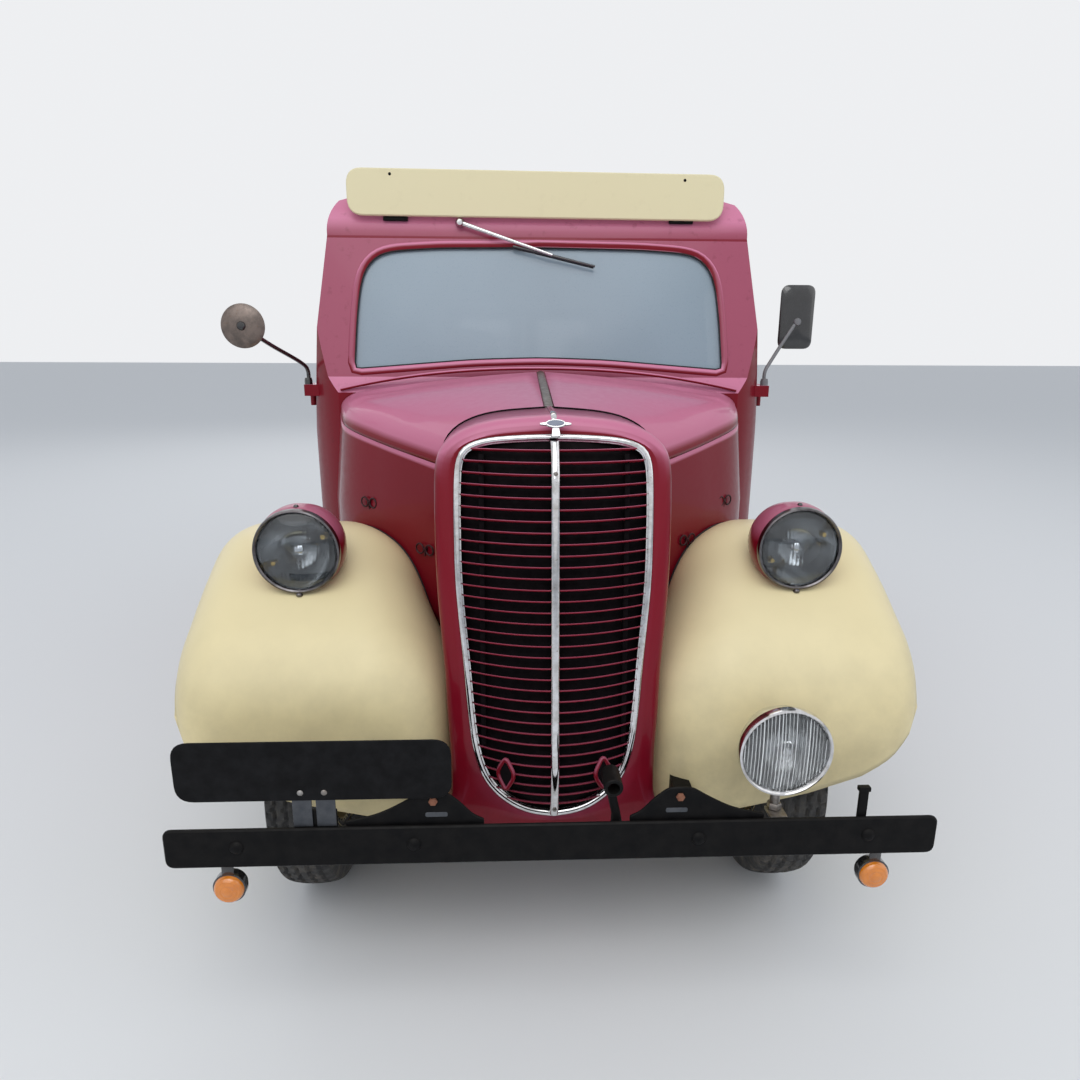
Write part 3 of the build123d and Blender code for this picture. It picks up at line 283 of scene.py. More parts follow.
class Piece:
    """Gathers shapes into one mesh object, each with one of its materials."""

    def __init__(self, name, *materials):
        self.name = name
        self.materials = materials
        self.verts = []
        self.faces = []
        self.marks = []

    def add(self, shape, material=0):
        verts, faces = shape
        start = len(self.verts)
        self.verts += verts
        self.faces += [tuple(start + i for i in f) for f in faces]
        self.marks += [material] * len(faces)

    def build(self, body="chassis", replaces=(), slot="", mirror=False, angle=38, solid=0, fill=0):
        """Makes the object; solid is a sheet's thickness, and fill is not used."""
        sign = -MM if mirror else MM
        mesh = bpy.data.meshes.new(self.name)
        mesh.from_pydata([(x * sign, y * MM, z * MM) for x, y, z in self.verts], [], self.faces)
        for m in self.materials:
            mesh.materials.append(m)
        mesh.polygons.foreach_set("material_index", self.marks)
        bm = bmesh.new()
        bm.from_mesh(mesh)
        bmesh.ops.remove_doubles(bm, verts=bm.verts, dist=1e-6)
        bmesh.ops.recalc_face_normals(bm, faces=bm.faces)
        bm.to_mesh(mesh)
        bm.free()
        mesh.polygons.foreach_set("use_smooth", [True] * len(mesh.polygons))
        mesh.set_sharp_from_angle(angle=radians(angle))
        obj = bpy.data.objects.new(self.name, mesh)
        bpy.context.scene.collection.objects.link(obj)
        if solid:
            mod = obj.modifiers.new("thickness", "SOLIDIFY")
            mod.thickness = solid * MM
            mod.offset = -1
            mod.use_even_offset = True
        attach(obj, body)
        if replaces:
            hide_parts(*replaces)


# Materials, built from the nodes that small helpers add to a material's tree
def node(nt, kind, inputs, **settings):
    """A new node with its settings made and its inputs set or linked."""
    made = nt.nodes.new("ShaderNode" + kind)
    for key, value in settings.items():
        setattr(made, key, value)
    for key, value in inputs.items():
        if isinstance(value, bpy.types.NodeSocket):
            nt.links.new(value, made.inputs[key])
        else:
            made.inputs[key].default_value = value
    return made


def new_material(name):
    m = bpy.data.materials.new(name)
    m.use_nodes = True
    m.node_tree.nodes.clear()
    return m, m.node_tree


def shade(nt, colour, rough, sockets, height=None, strength=0.0, distance=0.0):
    """The tree's shader and output; sockets holds its other inputs, height gives it relief."""
    inputs = {"Base Color": colour, "Roughness": rough, **sockets}
    if height is not None:
        relief = node(nt, "Bump", {"Strength": strength, "Distance": distance, "Height": height})
        inputs["Normal"] = relief.outputs[0]
    node(nt, "OutputMaterial", {0: node(nt, "BsdfPrincipled", inputs).outputs[0]})


def noise(nt, scale, detail=4.0, rough=0.55, stretch=None):
    """Noise in the object's own coordinates, stretched if asked."""
    place = node(nt, "TexCoord", {}).outputs["Object"]
    if stretch:
        place = node(nt, "Mapping", {"Scale": stretch, "Vector": place}).outputs[0]
    inputs = {"Scale": scale, "Detail": detail, "Roughness": rough, "Vector": place}
    return node(nt, "TexNoise", inputs).outputs["Fac"]


def times(nt, a, b):
    return node(nt, "Math", {0: a, 1: b}, operation="MULTIPLY").outputs[0]


def ramp(nt, fac, stops):
    """A colour that runs from the first stop's to the last one's."""
    r = node(nt, "ValToRGB", {0: fac})
    for element, (position, colour) in zip(r.color_ramp.elements, stops):
        element.position = position
        element.color = (*colour, 1)
    return r.outputs[0]


def scaled(nt, fac, low, high, start=0.3, end=0.7):
    """From low where fac is at start to high where it is at end."""
    inputs = {"Value": fac, "From Min": start, "From Max": end, "To Min": low, "To Max": high}
    return node(nt, "MapRange", inputs).outputs[0]


def z_of(nt, name):
    """The z of the surface's Position or Normal."""
    return node(nt, "SeparateXYZ", {0: node(nt, "NewGeometry", {}).outputs[name]}).outputs["Z"]


def height_of(nt):
    """Height above the ground in metres; the parts share the vehicle's frame."""
    return z_of(nt, "Position")


def facing_up(nt, low=0.13, high=0.42):
    """1 on what faces the sky, 0 on what doesn't."""
    return scaled(nt, z_of(nt, "Normal"), 0.0, 1.0, low, high)


def mixed(nt, fac, a, b):
    """Colour a where fac is 0, and the plain colour b where it is 1."""
    return node(nt, "Mix", {"Factor": fac, 6: a, 7: (*b, 1)}, data_type="RGBA").outputs[2]


def edges_of(nt):
    """1 on raised edges, 0 elsewhere."""
    return scaled(nt, node(nt, "NewGeometry", {}).outputs["Pointiness"], 0.0, 1.0, 0.52, 0.60)


ROAD_DIRT = (0.10, 0.085, 0.065)


def enamel(name, base, faded, chip, painted_sheen, painted_sheen_amount, coat, rough=0.34, sheen=0.16, dirt_and_shade=ROAD_DIRT):
    """Hand-painted coach enamel: slow fading, painted sheen on upper faces, worn edges, darkening low down.
    """
    m, nt = new_material(name)
    colour = ramp(nt, noise(nt, 1.3, 3.0, 0.5), [(0.34, base), (0.66, faded)])
    # Painted sheen: a paler colour mixed into faces that look up, more so higher up, in place of the sky's
    # reflection
    high = scaled(nt, height_of(nt), 0.3, 1.0, 0.95, 1.36)
    colour = mixed(nt, times(nt, times(nt, facing_up(nt), high), painted_sheen_amount), colour, painted_sheen)
    specks = scaled(nt, noise(nt, 260.0, 2.0, 0.5), 0.0, 0.2, 0.76, 0.81)
    colour = mixed(nt, specks, colour, chip)
    # Darker towards the bottom: dirt in ROAD_DIRT's colour on the cream and the sign, painted shade in the
    # maroon's near-black
    low = scaled(nt, height_of(nt), 0.6, 0.0, 0.34, 0.90)
    dirt_and_shade_mask = times(nt, low, scaled(nt, noise(nt, 11.0, 6.0, 0.6), 0.15, 0.75, 0.35, 0.7))
    colour = mixed(nt, dirt_and_shade_mask, colour, dirt_and_shade)
    worn = times(nt, edges_of(nt), scaled(nt, noise(nt, 34.0, 4.0), 0.0, 0.2, 0.60, 0.70))
    colour = mixed(nt, worn, colour, chip)
    gloss = {"Coat Weight": coat, "Coat Roughness": sheen, "Coat IOR": 1.3, "Specular IOR Level": 0.12}
    shade(nt, colour, scaled(nt, noise(nt, 48.0, 5.0, 0.6), rough * 0.85, rough * 1.2), gloss,
          noise(nt, 70.0, 3.0, 0.5, (1.0, 1.0, 0.15)), 0.035, 0.0006)
    return m


def metal(name, base, tarnish, rough, scale=40.0, rust=None, metallic=1.0, grain=0.08):
    """Metal with patches of tarnish and specks of rust; rough is its range."""
    m, nt = new_material(name)
    colour = ramp(nt, noise(nt, scale, 6.0, 0.62), [(0.38, base), (0.66, tarnish)])
    if rust:
        colour = mixed(nt, scaled(nt, noise(nt, scale * 3.1, 5.0, 0.7), 0.0, 0.8, 0.60, 0.72), colour, rust)
    shade(nt, colour, scaled(nt, noise(nt, scale * 1.9, 4.0), *rough), {"Metallic": metallic},
          noise(nt, scale * 7, 3.0), grain, 0.0004)
    return m


def coated(name, base, other, rough, scale=40.0, dust=None, coat=0.0, shine=0.5, lens=False):
    """Paint, rubber or plastic with dust that lies on what faces up, or a coloured lens."""
    m, nt = new_material(name)
    colour = ramp(nt, noise(nt, scale, 5.0, 0.6), [(0.35, base), (0.68, other)])
    if dust:
        lying = times(nt, facing_up(nt, 0.2, 0.9), scaled(nt, noise(nt, 26.0, 5.0), 0.1, 0.8))
        colour = mixed(nt, lying, colour, dust)
    gloss = {"Specular IOR Level": shine, "Coat Weight": coat, "Coat Roughness": 0.1}
    fine, strength, depth = (60.0, 0.2, 0.0004) if lens else (180.0, 0.25, 0.0006)
    mottled = scaled(nt, noise(nt, scale * 1.7, 3.0), *rough)
    shade(nt, colour, mottled, gloss, noise(nt, fine, 3.0), strength, depth)
    return m


def glazing(name, tint, rough, alpha):
    """Window glass under fine mist: a pale sheen over what lies behind it."""
    m, nt = new_material(name)
    drops = noise(nt, 300.0, 2.0, 0.5)
    runs = noise(nt, 2.2, 3.0, 0.5, (1.0, 1.0, 0.5))
    colour = ramp(nt, runs, [(0.3, tint), (0.7, tuple(c * 0.9 for c in tint))])
    gloss = {"Specular IOR Level": 0.4, "IOR": 1.5, "Coat Weight": 0.4, "Coat Roughness": 0.12}
    shade(nt, colour, scaled(nt, drops, *rough), {"Alpha": alpha, **gloss}, drops, 0.08, 0.0003)
    return m


def clear_glass(name, tint):
    """A lamp's glass, which light passes through."""
    m, nt = new_material(name)
    colour = ramp(nt, noise(nt, 30.0, 5.0), [(0.35, tint), (0.7, tuple(c * 0.9 for c in tint))])
    shade(nt, colour, scaled(nt, noise(nt, 45.0, 4.0), 0.02, 0.06), {"Transmission Weight": 1.0, "IOR": 1.45})
    return m


def hide(name, base, deep):
    """Grained leather cloth."""
    m, nt = new_material(name)
    cells = node(nt, "TexVoronoi", {"Scale": 230.0, "Vector": node(nt, "TexCoord", {}).outputs["Object"]})
    colour = ramp(nt, noise(nt, 7.0, 6.0, 0.65), [(0.32, deep), (0.7, base)])
    colour = mixed(nt, times(nt, edges_of(nt), 0.5), colour, tuple(c * 2.2 + 0.03 for c in base))
    shade(nt, colour, scaled(nt, noise(nt, 50.0, 4.0), 0.38, 0.6), {"Sheen Weight": 0.1},
          cells.outputs["Distance"], 0.35, 0.0007)
    return m


def planks(name, base, deep):
    """Worn boards, with their grain along the vehicle."""
    m, nt = new_material(name)
    grain = noise(nt, 26.0, 8.0, 0.65, (6.0, 0.35, 6.0))
    colour = ramp(nt, grain, [(0.3, deep), (0.7, base)])
    stains = scaled(nt, noise(nt, 4.0, 5.0), 0.0, 0.5, 0.5, 0.7)
    colour = mixed(nt, stains, colour, tuple(c * 0.5 for c in deep))
    shade(nt, colour, scaled(nt, grain, 0.55, 0.8), {}, grain, 0.3, 0.001)
    return m


def treaded(name):
    """Tyre rubber, greyed and muddy towards the ground."""
    m, nt = new_material(name)
    colour = ramp(nt, noise(nt, 18.0, 6.0), [(0.35, (0.016, 0.016, 0.017)), (0.7, (0.045, 0.043, 0.041))])
    mud = times(nt, scaled(nt, height_of(nt), 0.8, 0.1, 0.0, 0.5),
                scaled(nt, noise(nt, 32.0, 6.0, 0.7), 0.0, 1.0, 0.48, 0.66))
    colour = mixed(nt, mud, colour, (0.13, 0.11, 0.085))
    shade(nt, colour, scaled(nt, noise(nt, 60.0, 4.0), 0.62, 0.88), {}, noise(nt, 260.0, 4.0), 0.3, 0.0008)
    return m


# The maroon's pale pink is its painted sheen, and its near-black low colour is painted shade, as under the
# nose
MAROON = enamel("maroon_paint", (0.172, 0.0028, 0.0100), (0.194, 0.005, 0.016), (0.08, 0.006, 0.010),
                (0.75, 0.275, 0.435), 0.74, coat=0.5, sheen=0.08, dirt_and_shade=(0.010, 0.002, 0.004))
CREAM = enamel("cream_paint", (0.765, 0.645, 0.355), (0.79, 0.675, 0.395), (0.52, 0.43, 0.26),
               (0.83, 0.76, 0.56), 0.5, coat=0.35, rough=0.4, sheen=0.28)
SIGN = enamel("sign_paint", (0.735, 0.67, 0.43), (0.74, 0.675, 0.44), (0.56, 0.49, 0.31),
              (0.78, 0.72, 0.52), 0.2, coat=0.15, rough=0.5, sheen=0.3)
BLACK = coated("chassis_black", (0.003, 0.003, 0.0035), (0.007, 0.0065, 0.0065), (0.4, 0.6), 30,
               (0.012, 0.011, 0.010), shine=0.1)
NUT = coated("wing_nut_paint", (0.022, 0.003, 0.006), (0.040, 0.006, 0.010), (0.4, 0.6), 60, shine=0.3)
ZINC = metal("plated_strap", (0.085, 0.09, 0.10), (0.055, 0.06, 0.07), (0.3, 0.45), 35, None, 0.7)
RUST = coated("rusty_bolt", (0.16, 0.055, 0.03), (0.24, 0.10, 0.055), (0.7, 0.9), 90)
GLOSS = coated("gloss_black", (0.008, 0.008, 0.009), (0.016, 0.016, 0.018), (0.16, 0.3), 40, coat=0.8)
SEAL = coated("rubber_seal", (0.010, 0.009, 0.010), (0.022, 0.021, 0.021), (0.6, 0.8), 60, shine=0.3)
CHROME = metal("bright_chrome", (0.72, 0.72, 0.74), (0.52, 0.51, 0.50), (0.05, 0.17), 55,
               (0.20, 0.13, 0.08), 1.0, 0.03)
STEEL = metal("dull_steel", (0.34, 0.33, 0.32), (0.20, 0.17, 0.15), (0.32, 0.55), 40, (0.16, 0.08, 0.04))
STRIP = metal("strip_metal", (0.42, 0.39, 0.35), (0.25, 0.21, 0.18), (0.3, 0.5), 70, (0.2, 0.12, 0.07))
SILVER = metal("wiper_silver", (0.66, 0.66, 0.67), (0.46, 0.45, 0.44), (0.14, 0.3), 60)
MIRROR = metal("mirror_silver", (0.66, 0.67, 0.68), (0.55, 0.56, 0.57), (0.04, 0.09), 25, None, 1.0, 0.02)
BOWL = metal("lamp_reflector", (0.42, 0.425, 0.43), (0.20, 0.205, 0.21), (0.08, 0.18), 25, None, 1.0, 0.02)
RIM = metal("lamp_rim", (0.15, 0.145, 0.15), (0.09, 0.08, 0.085), (0.14, 0.28), 60, (0.10, 0.05, 0.03))
# Bright gold for the small bodies that give each head lamp its golden glints: painted glints
GLINT_BRASS = metal("lamp_brass_glint", (0.62, 0.43, 0.13), (0.34, 0.22, 0.06), (0.15, 0.3), 90)
IRON = metal("cast_iron", (0.10, 0.11, 0.10), (0.05, 0.045, 0.04), (0.6, 0.8), 50,
             (0.14, 0.07, 0.035), 0.3, 0.4)
ALLOY = metal("counter_alloy", (0.58, 0.59, 0.60), (0.48, 0.48, 0.49), (0.28, 0.42), 30)
RUBBER = treaded("tyre_rubber")
WOOD = planks("floor_wood", (0.26, 0.19, 0.12), (0.13, 0.09, 0.055))
GREY = coated("cab_grey", (0.19, 0.19, 0.20), (0.13, 0.13, 0.14), (0.4, 0.6), 20, (0.25, 0.24, 0.22))
BROWN = metal("mirror_back", (0.19, 0.15, 0.13), (0.11, 0.09, 0.08), (0.3, 0.5), 45, (0.17, 0.09, 0.05), 0.6)
LEATHER = hide("seat_leather", (0.10, 0.022, 0.028), (0.045, 0.010, 0.013))
AMBER = coated("amber_lens", (0.72, 0.22, 0.012), (0.60, 0.17, 0.008), (0.1, 0.2), 30, coat=1.0, lens=True)
RED = coated("red_lens", (0.45, 0.01, 0.01), (0.33, 0.008, 0.008), (0.1, 0.2), 30, coat=1.0, lens=True)
PLATE = coated("plate_black", (0.0035, 0.0035, 0.004), (0.008, 0.008, 0.009), (0.38, 0.5), 40, shine=0.1)
ENAMEL_BLUE = coated("badge_enamel", (0.045, 0.07, 0.13), (0.07, 0.10, 0.17), (0.15, 0.25), 60, coat=1.0)
GLASS = glazing("misted_glass", (0.295, 0.38, 0.445), (0.25, 0.4), 0.78)
SIDE_GLASS = glazing("side_window_glass", (0.10, 0.125, 0.13), (0.06, 0.12), 0.34)
LAMP_GLASS = clear_glass("lamp_glass", (0.80, 0.84, 0.87))
FOG_GLASS = clear_glass("fog_lamp_glass", (0.90, 0.92, 0.93))
# Near-black for holes, gaps and the space behind the grille bars: painted shade
PAINTED_SHADE = coated("painted_shade_black", (0.0022, 0.0014, 0.0018), (0.005, 0.003, 0.004), (0.75, 0.95), 40, shine=0.1)

SLOT = {
    "maroon_paint": MAROON, "cream_paint": CREAM, "window_glass": GLASS, "floor_wood": WOOD,
    "chassis_black": BLACK, "engine_iron": IRON, "exhaust_steel": STEEL, "bright_trim": CHROME,
    "plate_black": PLATE, "amber_lens": AMBER, "red_lens": RED, "mirror_black": GLOSS,
    "wiper_steel": SILVER, "wheel_black": GLOSS, "cab_grey": GREY, "seat_leather": LEATHER,
    "counter_alloy": ALLOY, "tyre_rubber": RUBBER, "wheel_cream": CREAM,
}
LARGE_PANELS = ("cab_front", "roof", "side_left", "side_right")
for sub in frame["record"]["subparts"]:
    mesh = NODES[sub["node"]].data
    side_window = sub["material_slot"] == "window_glass" and "windscreen" not in sub["node"]
    mesh.materials.clear()
    mesh.materials.append(SIDE_GLASS if side_window else SLOT[sub["material_slot"]])
    mesh.polygons.foreach_set("use_smooth", [True] * len(mesh.polygons))
    mesh.set_sharp_from_angle(angle=radians(52 if sub["node"] in LARGE_PANELS else 24))


# Nose shell: its outline and the bright surround's, from the middle of the bottom up the left side
NOSE_SIDE = [
    (222, 392), (222, 480), (223, 566), (229, 660), (233, 749), (242, 860), (248, 960), (250, 1100),
    (246, 1190), (226, 1232), (180, 1262), (112, 1279), (0, 1288),
]
TRIM_SIDE = [
    (0, 433), (50, 441), (92, 460), (130, 492), (156, 533), (174, 595), (184, 679), (192, 779), (205, 928),
    (208, 1040), (207, 1147), (201, 1200), (182, 1228), (138, 1243), (70, 1249), (0, 1251),
]
NOSE_TOP = (yf(-360), 1263)
NOSE_LOW = (yf(-470), 436)
NOSE_REAR_Y = yf(-155)
TOO_CLOSE = 0.4


def whole(side):
    """A closed outline from one side, from the middle of the bottom round to it again."""
    right = catmull(side, 6)
    both = right + [(-x, z) for x, z in reversed(right)]
    return [p for i, p in enumerate(both) if i == 0 or dist(p, both[i - 1]) > TOO_CLOSE]


def nose_y(z):
    """The front plane of the nose, which leans back towards its top."""
    lean = (NOSE_LOW[0] - NOSE_TOP[0]) / (NOSE_LOW[1] - NOSE_TOP[1])
    return NOSE_TOP[0] + (z - NOSE_TOP[1]) * lean


nose_loop = resample(whole([(0, 392)] + NOSE_SIDE), 160)
trim_loop = resample(whole(TRIM_SIDE), 160)


def nose_ring(loop, back):
    return [(x, nose_y(z) + back, z) for x, z in loop]


ROUND = 24
rows = [[(x, NOSE_REAR_Y, z) for x, z in nose_loop]]
for a in between(0, pi / 2, 6):
    rows.append(nose_ring(inset(nose_loop, ROUND * (1 - cos(a))), ROUND * (1 - sin(a))))
rounded_loop = inset(nose_loop, ROUND)
for share, back in ((0.35, -1.5), (0.7, -1.0), (1.0, 1.0)):
    pairs = zip(rounded_loop, trim_loop)
    blend = [tuple(p * (1 - share) + q * share for p, q in zip(a, b)) for a, b in pairs]
    rows.append(nose_ring(blend, back))
rows.append(nose_ring(inset(trim_loop, 6), 3))
rows.append(nose_ring(inset(trim_loop, 9), 40))
nose = Piece("nose_shell_sheet", MAROON)
nose.add(grid(rows, close_cols=True))
nose.build(replaces=("nose_shell",), slot="maroon_paint", solid=3)

# Bright surround, centre bar and the bare badge
surround = Piece("grille_trim", CHROME, STEEL)
surround.add(tube(nose_ring(inset(trim_loop, 6), 0), 6.5, 10, closed=True, flat=0.75))
surround.add(tube(nose_ring(inset(trim_loop, 12), 3), 4, 8, closed=True))

# The grille bulges by this much between its foot and its head
BULGE = 55
GRILLE_FOOT, FOOT_FADE = 438, 120
GRILLE_HEAD, HEAD_FADE = 1250, 70


def along_line(line, at):
    """The second coordinate where the line's first one is this; the ends hold past the line."""
    for (a, v), (b, w) in zip(line[:-1], line[1:]):
        if a <= at <= b:
            return v + (w - v) * (at - a) / (b - a)
    return line[0][1] if at < line[0][0] else line[-1][1]


def half_width(z, margin=15):
    """Half the width of the opening inside the surround at this height."""
    return along_line([(height, x) for x, height in TRIM_SIDE], z) - margin


def bulge_y(x, z):
    """The grille's curved front, which meets the surround all round."""
    fade = sqrt(min(1, max(z - GRILLE_FOOT, 0) / FOOT_FADE) * min(1, max(GRILLE_HEAD - z, 0) / HEAD_FADE))
    wide = max(half_width(z, 4), 12)
    return nose_y(z) - BULGE * fade * max(1 - (x / wide) ** 2, 0)


rows = []
for z in between(448, 1240, 40):
    y = bulge_y(0, z)
    rows.append([(9 * a, y - 1 - 6.5 * b, z) for a, b in HALF_ROUND] + [(-9, y + 6, z), (9, y + 6, z)])
surround.add(capped(rows))
for z in (470, 1180):
    surround.add(turned([(0, 0), (4, -1), (4.5, -3), (4.5, -6)], (0, bulge_y(0, z) - 11.5, z), AHEAD, 12), 1)
surround.build(replaces=("grille_surround",), slot="bright_trim")

badge = Piece("nose_badge", CHROME, ENAMEL_BLUE)
BADGE = (2, yf(-374), 1271)
badge_tilt = radians(52)


def badge_point(a, b, d):
    """On the badge's own plane: a across, b up its slope, d out of it."""
    up = (cos(badge_tilt), sin(badge_tilt))
    return (BADGE[0] + a, BADGE[1] + b * up[0] - d * up[1], BADGE[2] + b * up[1] + d * up[0])


oval = [(21 * cos(t), 10 * sin(t)) for t in between(0, 2 * pi, 48)[:-1]]
badge.add(sheet_of(oval, lambda a, b, d: badge_point(a, b, 2 + d), 5, 1.4))
badge.add(sheet_of(inset(oval, 3), lambda a, b, d: badge_point(a, b, 6.4 + d), 1.6, 0.6), 1)
badge.add(sheet_of(
    [(-32, -2), (-18, -4), (18, -4), (32, -2), (32, 2), (18, 4), (-18, 4), (-32, 2)],
    lambda a, b, d: badge_point(a, b, 1 + d), 4, 0.8,
))
badge.add(sheet_of(
    rounded([(-7, -10), (7, -10), (9, -30), (-9, -30)], 2), lambda a, b, d: badge_point(a, b, 1 + d), 4, 0.8
))
badge.build(slot="bright_trim")

# Grille bars, curved across the nose; a bar's section is y and z from its front
BARS = 33
BAR_TOP_Z = 1222
BAR_PITCH = 23.2
BAR_SECTION = [(10, -1.4), (1.3, 1.9), (0.4, 1.6), (0, 0.7), (0.2, -0.4), (1.2, -1.3), (10, -4.6)]
bars = Piece("grille_bar_set", MAROON, PAINTED_SHADE)
for index in range(BARS):
    z = BAR_TOP_Z - index * BAR_PITCH
    wide = half_width(z)
    across = between(-wide, wide, 24)
    bars.add(capped([[(x, bulge_y(x, z) + dy, z + dz) for dy, dz in BAR_SECTION] for x in across]))
# Stays and a sheet behind the bars in near-black: painted shade inside the nose
for x in (-150, 0, 150):
    rows = []
    for z in between(450, 1236, 32):
        if half_width(z) >= abs(x) + 4:
            y = bulge_y(x, z) + 9
            rows.append([(x - 5, y, z), (x + 5, y, z), (x + 5, y + 9, z), (x - 5, y + 9, z)])
    bars.add(capped(rows), 1)
rows = []
for z in between(446, 1238, 29):
    wide = max(half_width(z) + 2, 4)
    rows.append([(x, bulge_y(x, z) + 24, z) for x in between(-wide, wide, 12)])
bars.add(grid(rows), 1)
bars.build(replaces=("grille_bars",), slot="maroon_paint")

# Lips round the two holes for the starting handle, each hole filled with a near-black sheet of painted shade
for sign, word in SIGNS:
    lip = Piece("handle_hole_" + word, MAROON, PAINTED_SHADE)
    x0, z0 = 103 * sign, 548
    eye = rounded([(0, -36), (20, 0), (0, 36), (-20, 0)], [10, 16, 10, 16], 6)
    y0 = bulge_y(x0, z0)
    lean = (bulge_y(x0 + 10, z0) - bulge_y(x0 - 10, z0)) / 20
    lift = (nose_y(z0 + 10) - nose_y(z0 - 10)) / 20

    def on_grille(a, b, d):
        return (x0 + a, y0 + a * lean + b * lift - 3 + d, z0 + b)

    lip.add(tube([on_grille(a, b, 0) for a, b in eye], 4.5, 10, closed=True))
    lip.add(sheet_of(inset(eye, 1), on_grille, 7, 1), 1)
    lip.build(slot="maroon_paint")

# Bonnet tops and the sides that wing nuts hold; a row is y, the crease's x and z, the side's lower
# edge x and z, and its skirt's z
STRIP_HALF = 12
CREASE_DROP = 30
LIP = 8
SHEET = 2.4
BONNET_ROWS = [
    (yf(-150), 252, 1192, 258, 925, 745), (yf(20), 415, 1222, 432, 1004, 850),
    (yf(170), 535, 1250, 556, 1000, 870), (yf(368), 590, 1272, 616, 985, 700),
]
bonnet_rows = catmull(BONNET_ROWS, 14)


def strip_z(y):
    return 1290 + (y - yf(-150)) / (yf(368) - yf(-150)) * 62


def flank_x(bonnet_row, z):
    y, crease_x, crease_z, low_x, low_z, skirt_z = bonnet_row
    top = crease_z - CREASE_DROP
    return crease_x + (low_x - crease_x) * (top - z) / (top - low_z)


for mirror, word in SIDES:
    top_rows, side_rows = [], []
    for bonnet_row in bonnet_rows:
        y, crease_x, crease_z, low_x, low_z, skirt_z = bonnet_row
        start = Vector((STRIP_HALF + 0.6, strip_z(y)))
        shoulder = Vector((crease_x - 60, crease_z + 22))
        brink = Vector((crease_x, crease_z - CREASE_DROP))
        bend = Vector((crease_x - 1, crease_z + 7))
        row = []
        for t in between(0, 1, 12)[:-1]:
            at = start.lerp(shoulder, t)
            row.append((at.x, y, at.y + 7 * sin(pi * t)))
        for t in between(0, 1, 10):
            at = shoulder * (1 - t) ** 2 + bend * 2 * t * (1 - t) + brink * t * t
            row.append((at.x, y, at.y))
        row.append((flank_x(bonnet_row, brink.y - LIP), y, brink.y - LIP))
        top_rows.append(row)
        top = crease_z - CREASE_DROP - LIP - 1.6
        y_side = y - 1 if bonnet_row is bonnet_rows[0] else y
        row = [(flank_x(bonnet_row, z), y_side, z) for z in between(top, low_z, 12)]
        row += [(low_x, y_side, z) for z in between(low_z, skirt_z, 6)[1:]]
        side_rows.append(row)
    bonnet = Piece("bonnet_sheet_" + word, MAROON)
    bonnet.add(grid(top_rows))
    bonnet.build(body="bonnet_" + word, replaces=("bonnet_" + word,), slot="maroon_paint", mirror=mirror,
                 solid=SHEET)
    flank = Piece("bonnet_side_" + word, MAROON)
    flank.add(grid(side_rows))
    flank.build(slot="maroon_paint", mirror=mirror, solid=SHEET)
    # Near-black strips and a bead in the gaps round each bonnet side and along the nose's top: painted shade
    gap_shade = Piece("bonnet_gap_shade_" + word, PAINTED_SHADE)
    rows = []
    for z in range(745, 1186, 20):
        x = flank_x(bonnet_rows[0], z) if z > 925 else 258
        rows.append([(x - 7, yf(-157), z), (x - 7, yf(-140), z), (x - 9, yf(-140), z), (x - 9, yf(-157), z)])
    gap_shade.add(capped(rows))
    upper = [p for p in nose_loop if p[0] >= 0 and p[1] > 900]
    upper.sort(key=lambda p: atan2(p[0], p[1] - 900))
    gap_shade.add(tube([(x, yf(-152), z + 0.5) for x, z in upper], 3.2, 8))
    gap_shade.build(slot="maroon_paint", mirror=mirror)

# Strip along the middle of the bonnet
strip = Piece("bonnet_strip", STRIP, CHROME)
rows = []
for y in between(NOSE_REAR_Y - 2, yf(378), 16):
    z = strip_z(y)
    rows.append([(11 * a, y, z - 3 + 4.2 * b) for a, b in HALF_ROUND] + [(-11, y, z - 6), (11, y, z - 6)])
strip.add(capped(rows))
rows = []
for y, z in ((-355, 1272), (-351, 1279), (-343, 1286), (-331, 1290), (-300, 1291), (-157, 1291)):
    rows.append([(6.5 * a, yf(y), z - 1 + 3.4 * b) for a, b in HALF_ROUND]
                + [(-6.5, yf(y) + 6, z - 9), (6.5, yf(y) + 6, z - 9)])
strip.add(capped(rows), 1)
strip.build(slot="bright_trim")

# Wing nuts that hold the bonnet's sides down
for x, y, z in ((-296, -112, 942), (-457, 54, 1026), (356, -54, 949), (486, 88, 1021)):
    side = -1 if x < 0 else 1
    nut = Piece("wing_nut_%d" % x, NUT)
    out = Vector((side * 0.62, -0.78, 0)).normalized()
    centre = Vector((x, yf(y), z)) + out * 4
    along = Vector((out.y, -out.x, 0)).normalized()
    for end in (1, -1):
        ring = [
            tuple(centre + along * end * (16 + 12.5 * cos(t * pi / 10))
                  + Vector((0, 0, 12.5 * sin(t * pi / 10))) + out * 4)
            for t in range(20)
        ]
        nut.add(tube(ring, 2.2, 8, closed=True))
    nut.add(turned([(0, 8), (3, 7.5), (4.5, 5), (5, 0), (6, -6)], tuple(centre), tuple(out), 16))
    nut.add(tube([tuple(centre + out * 3), tuple(centre + out * 3 + Vector((0, 0, -17)))], 2, 8))
    nut.build(slot="maroon_paint")

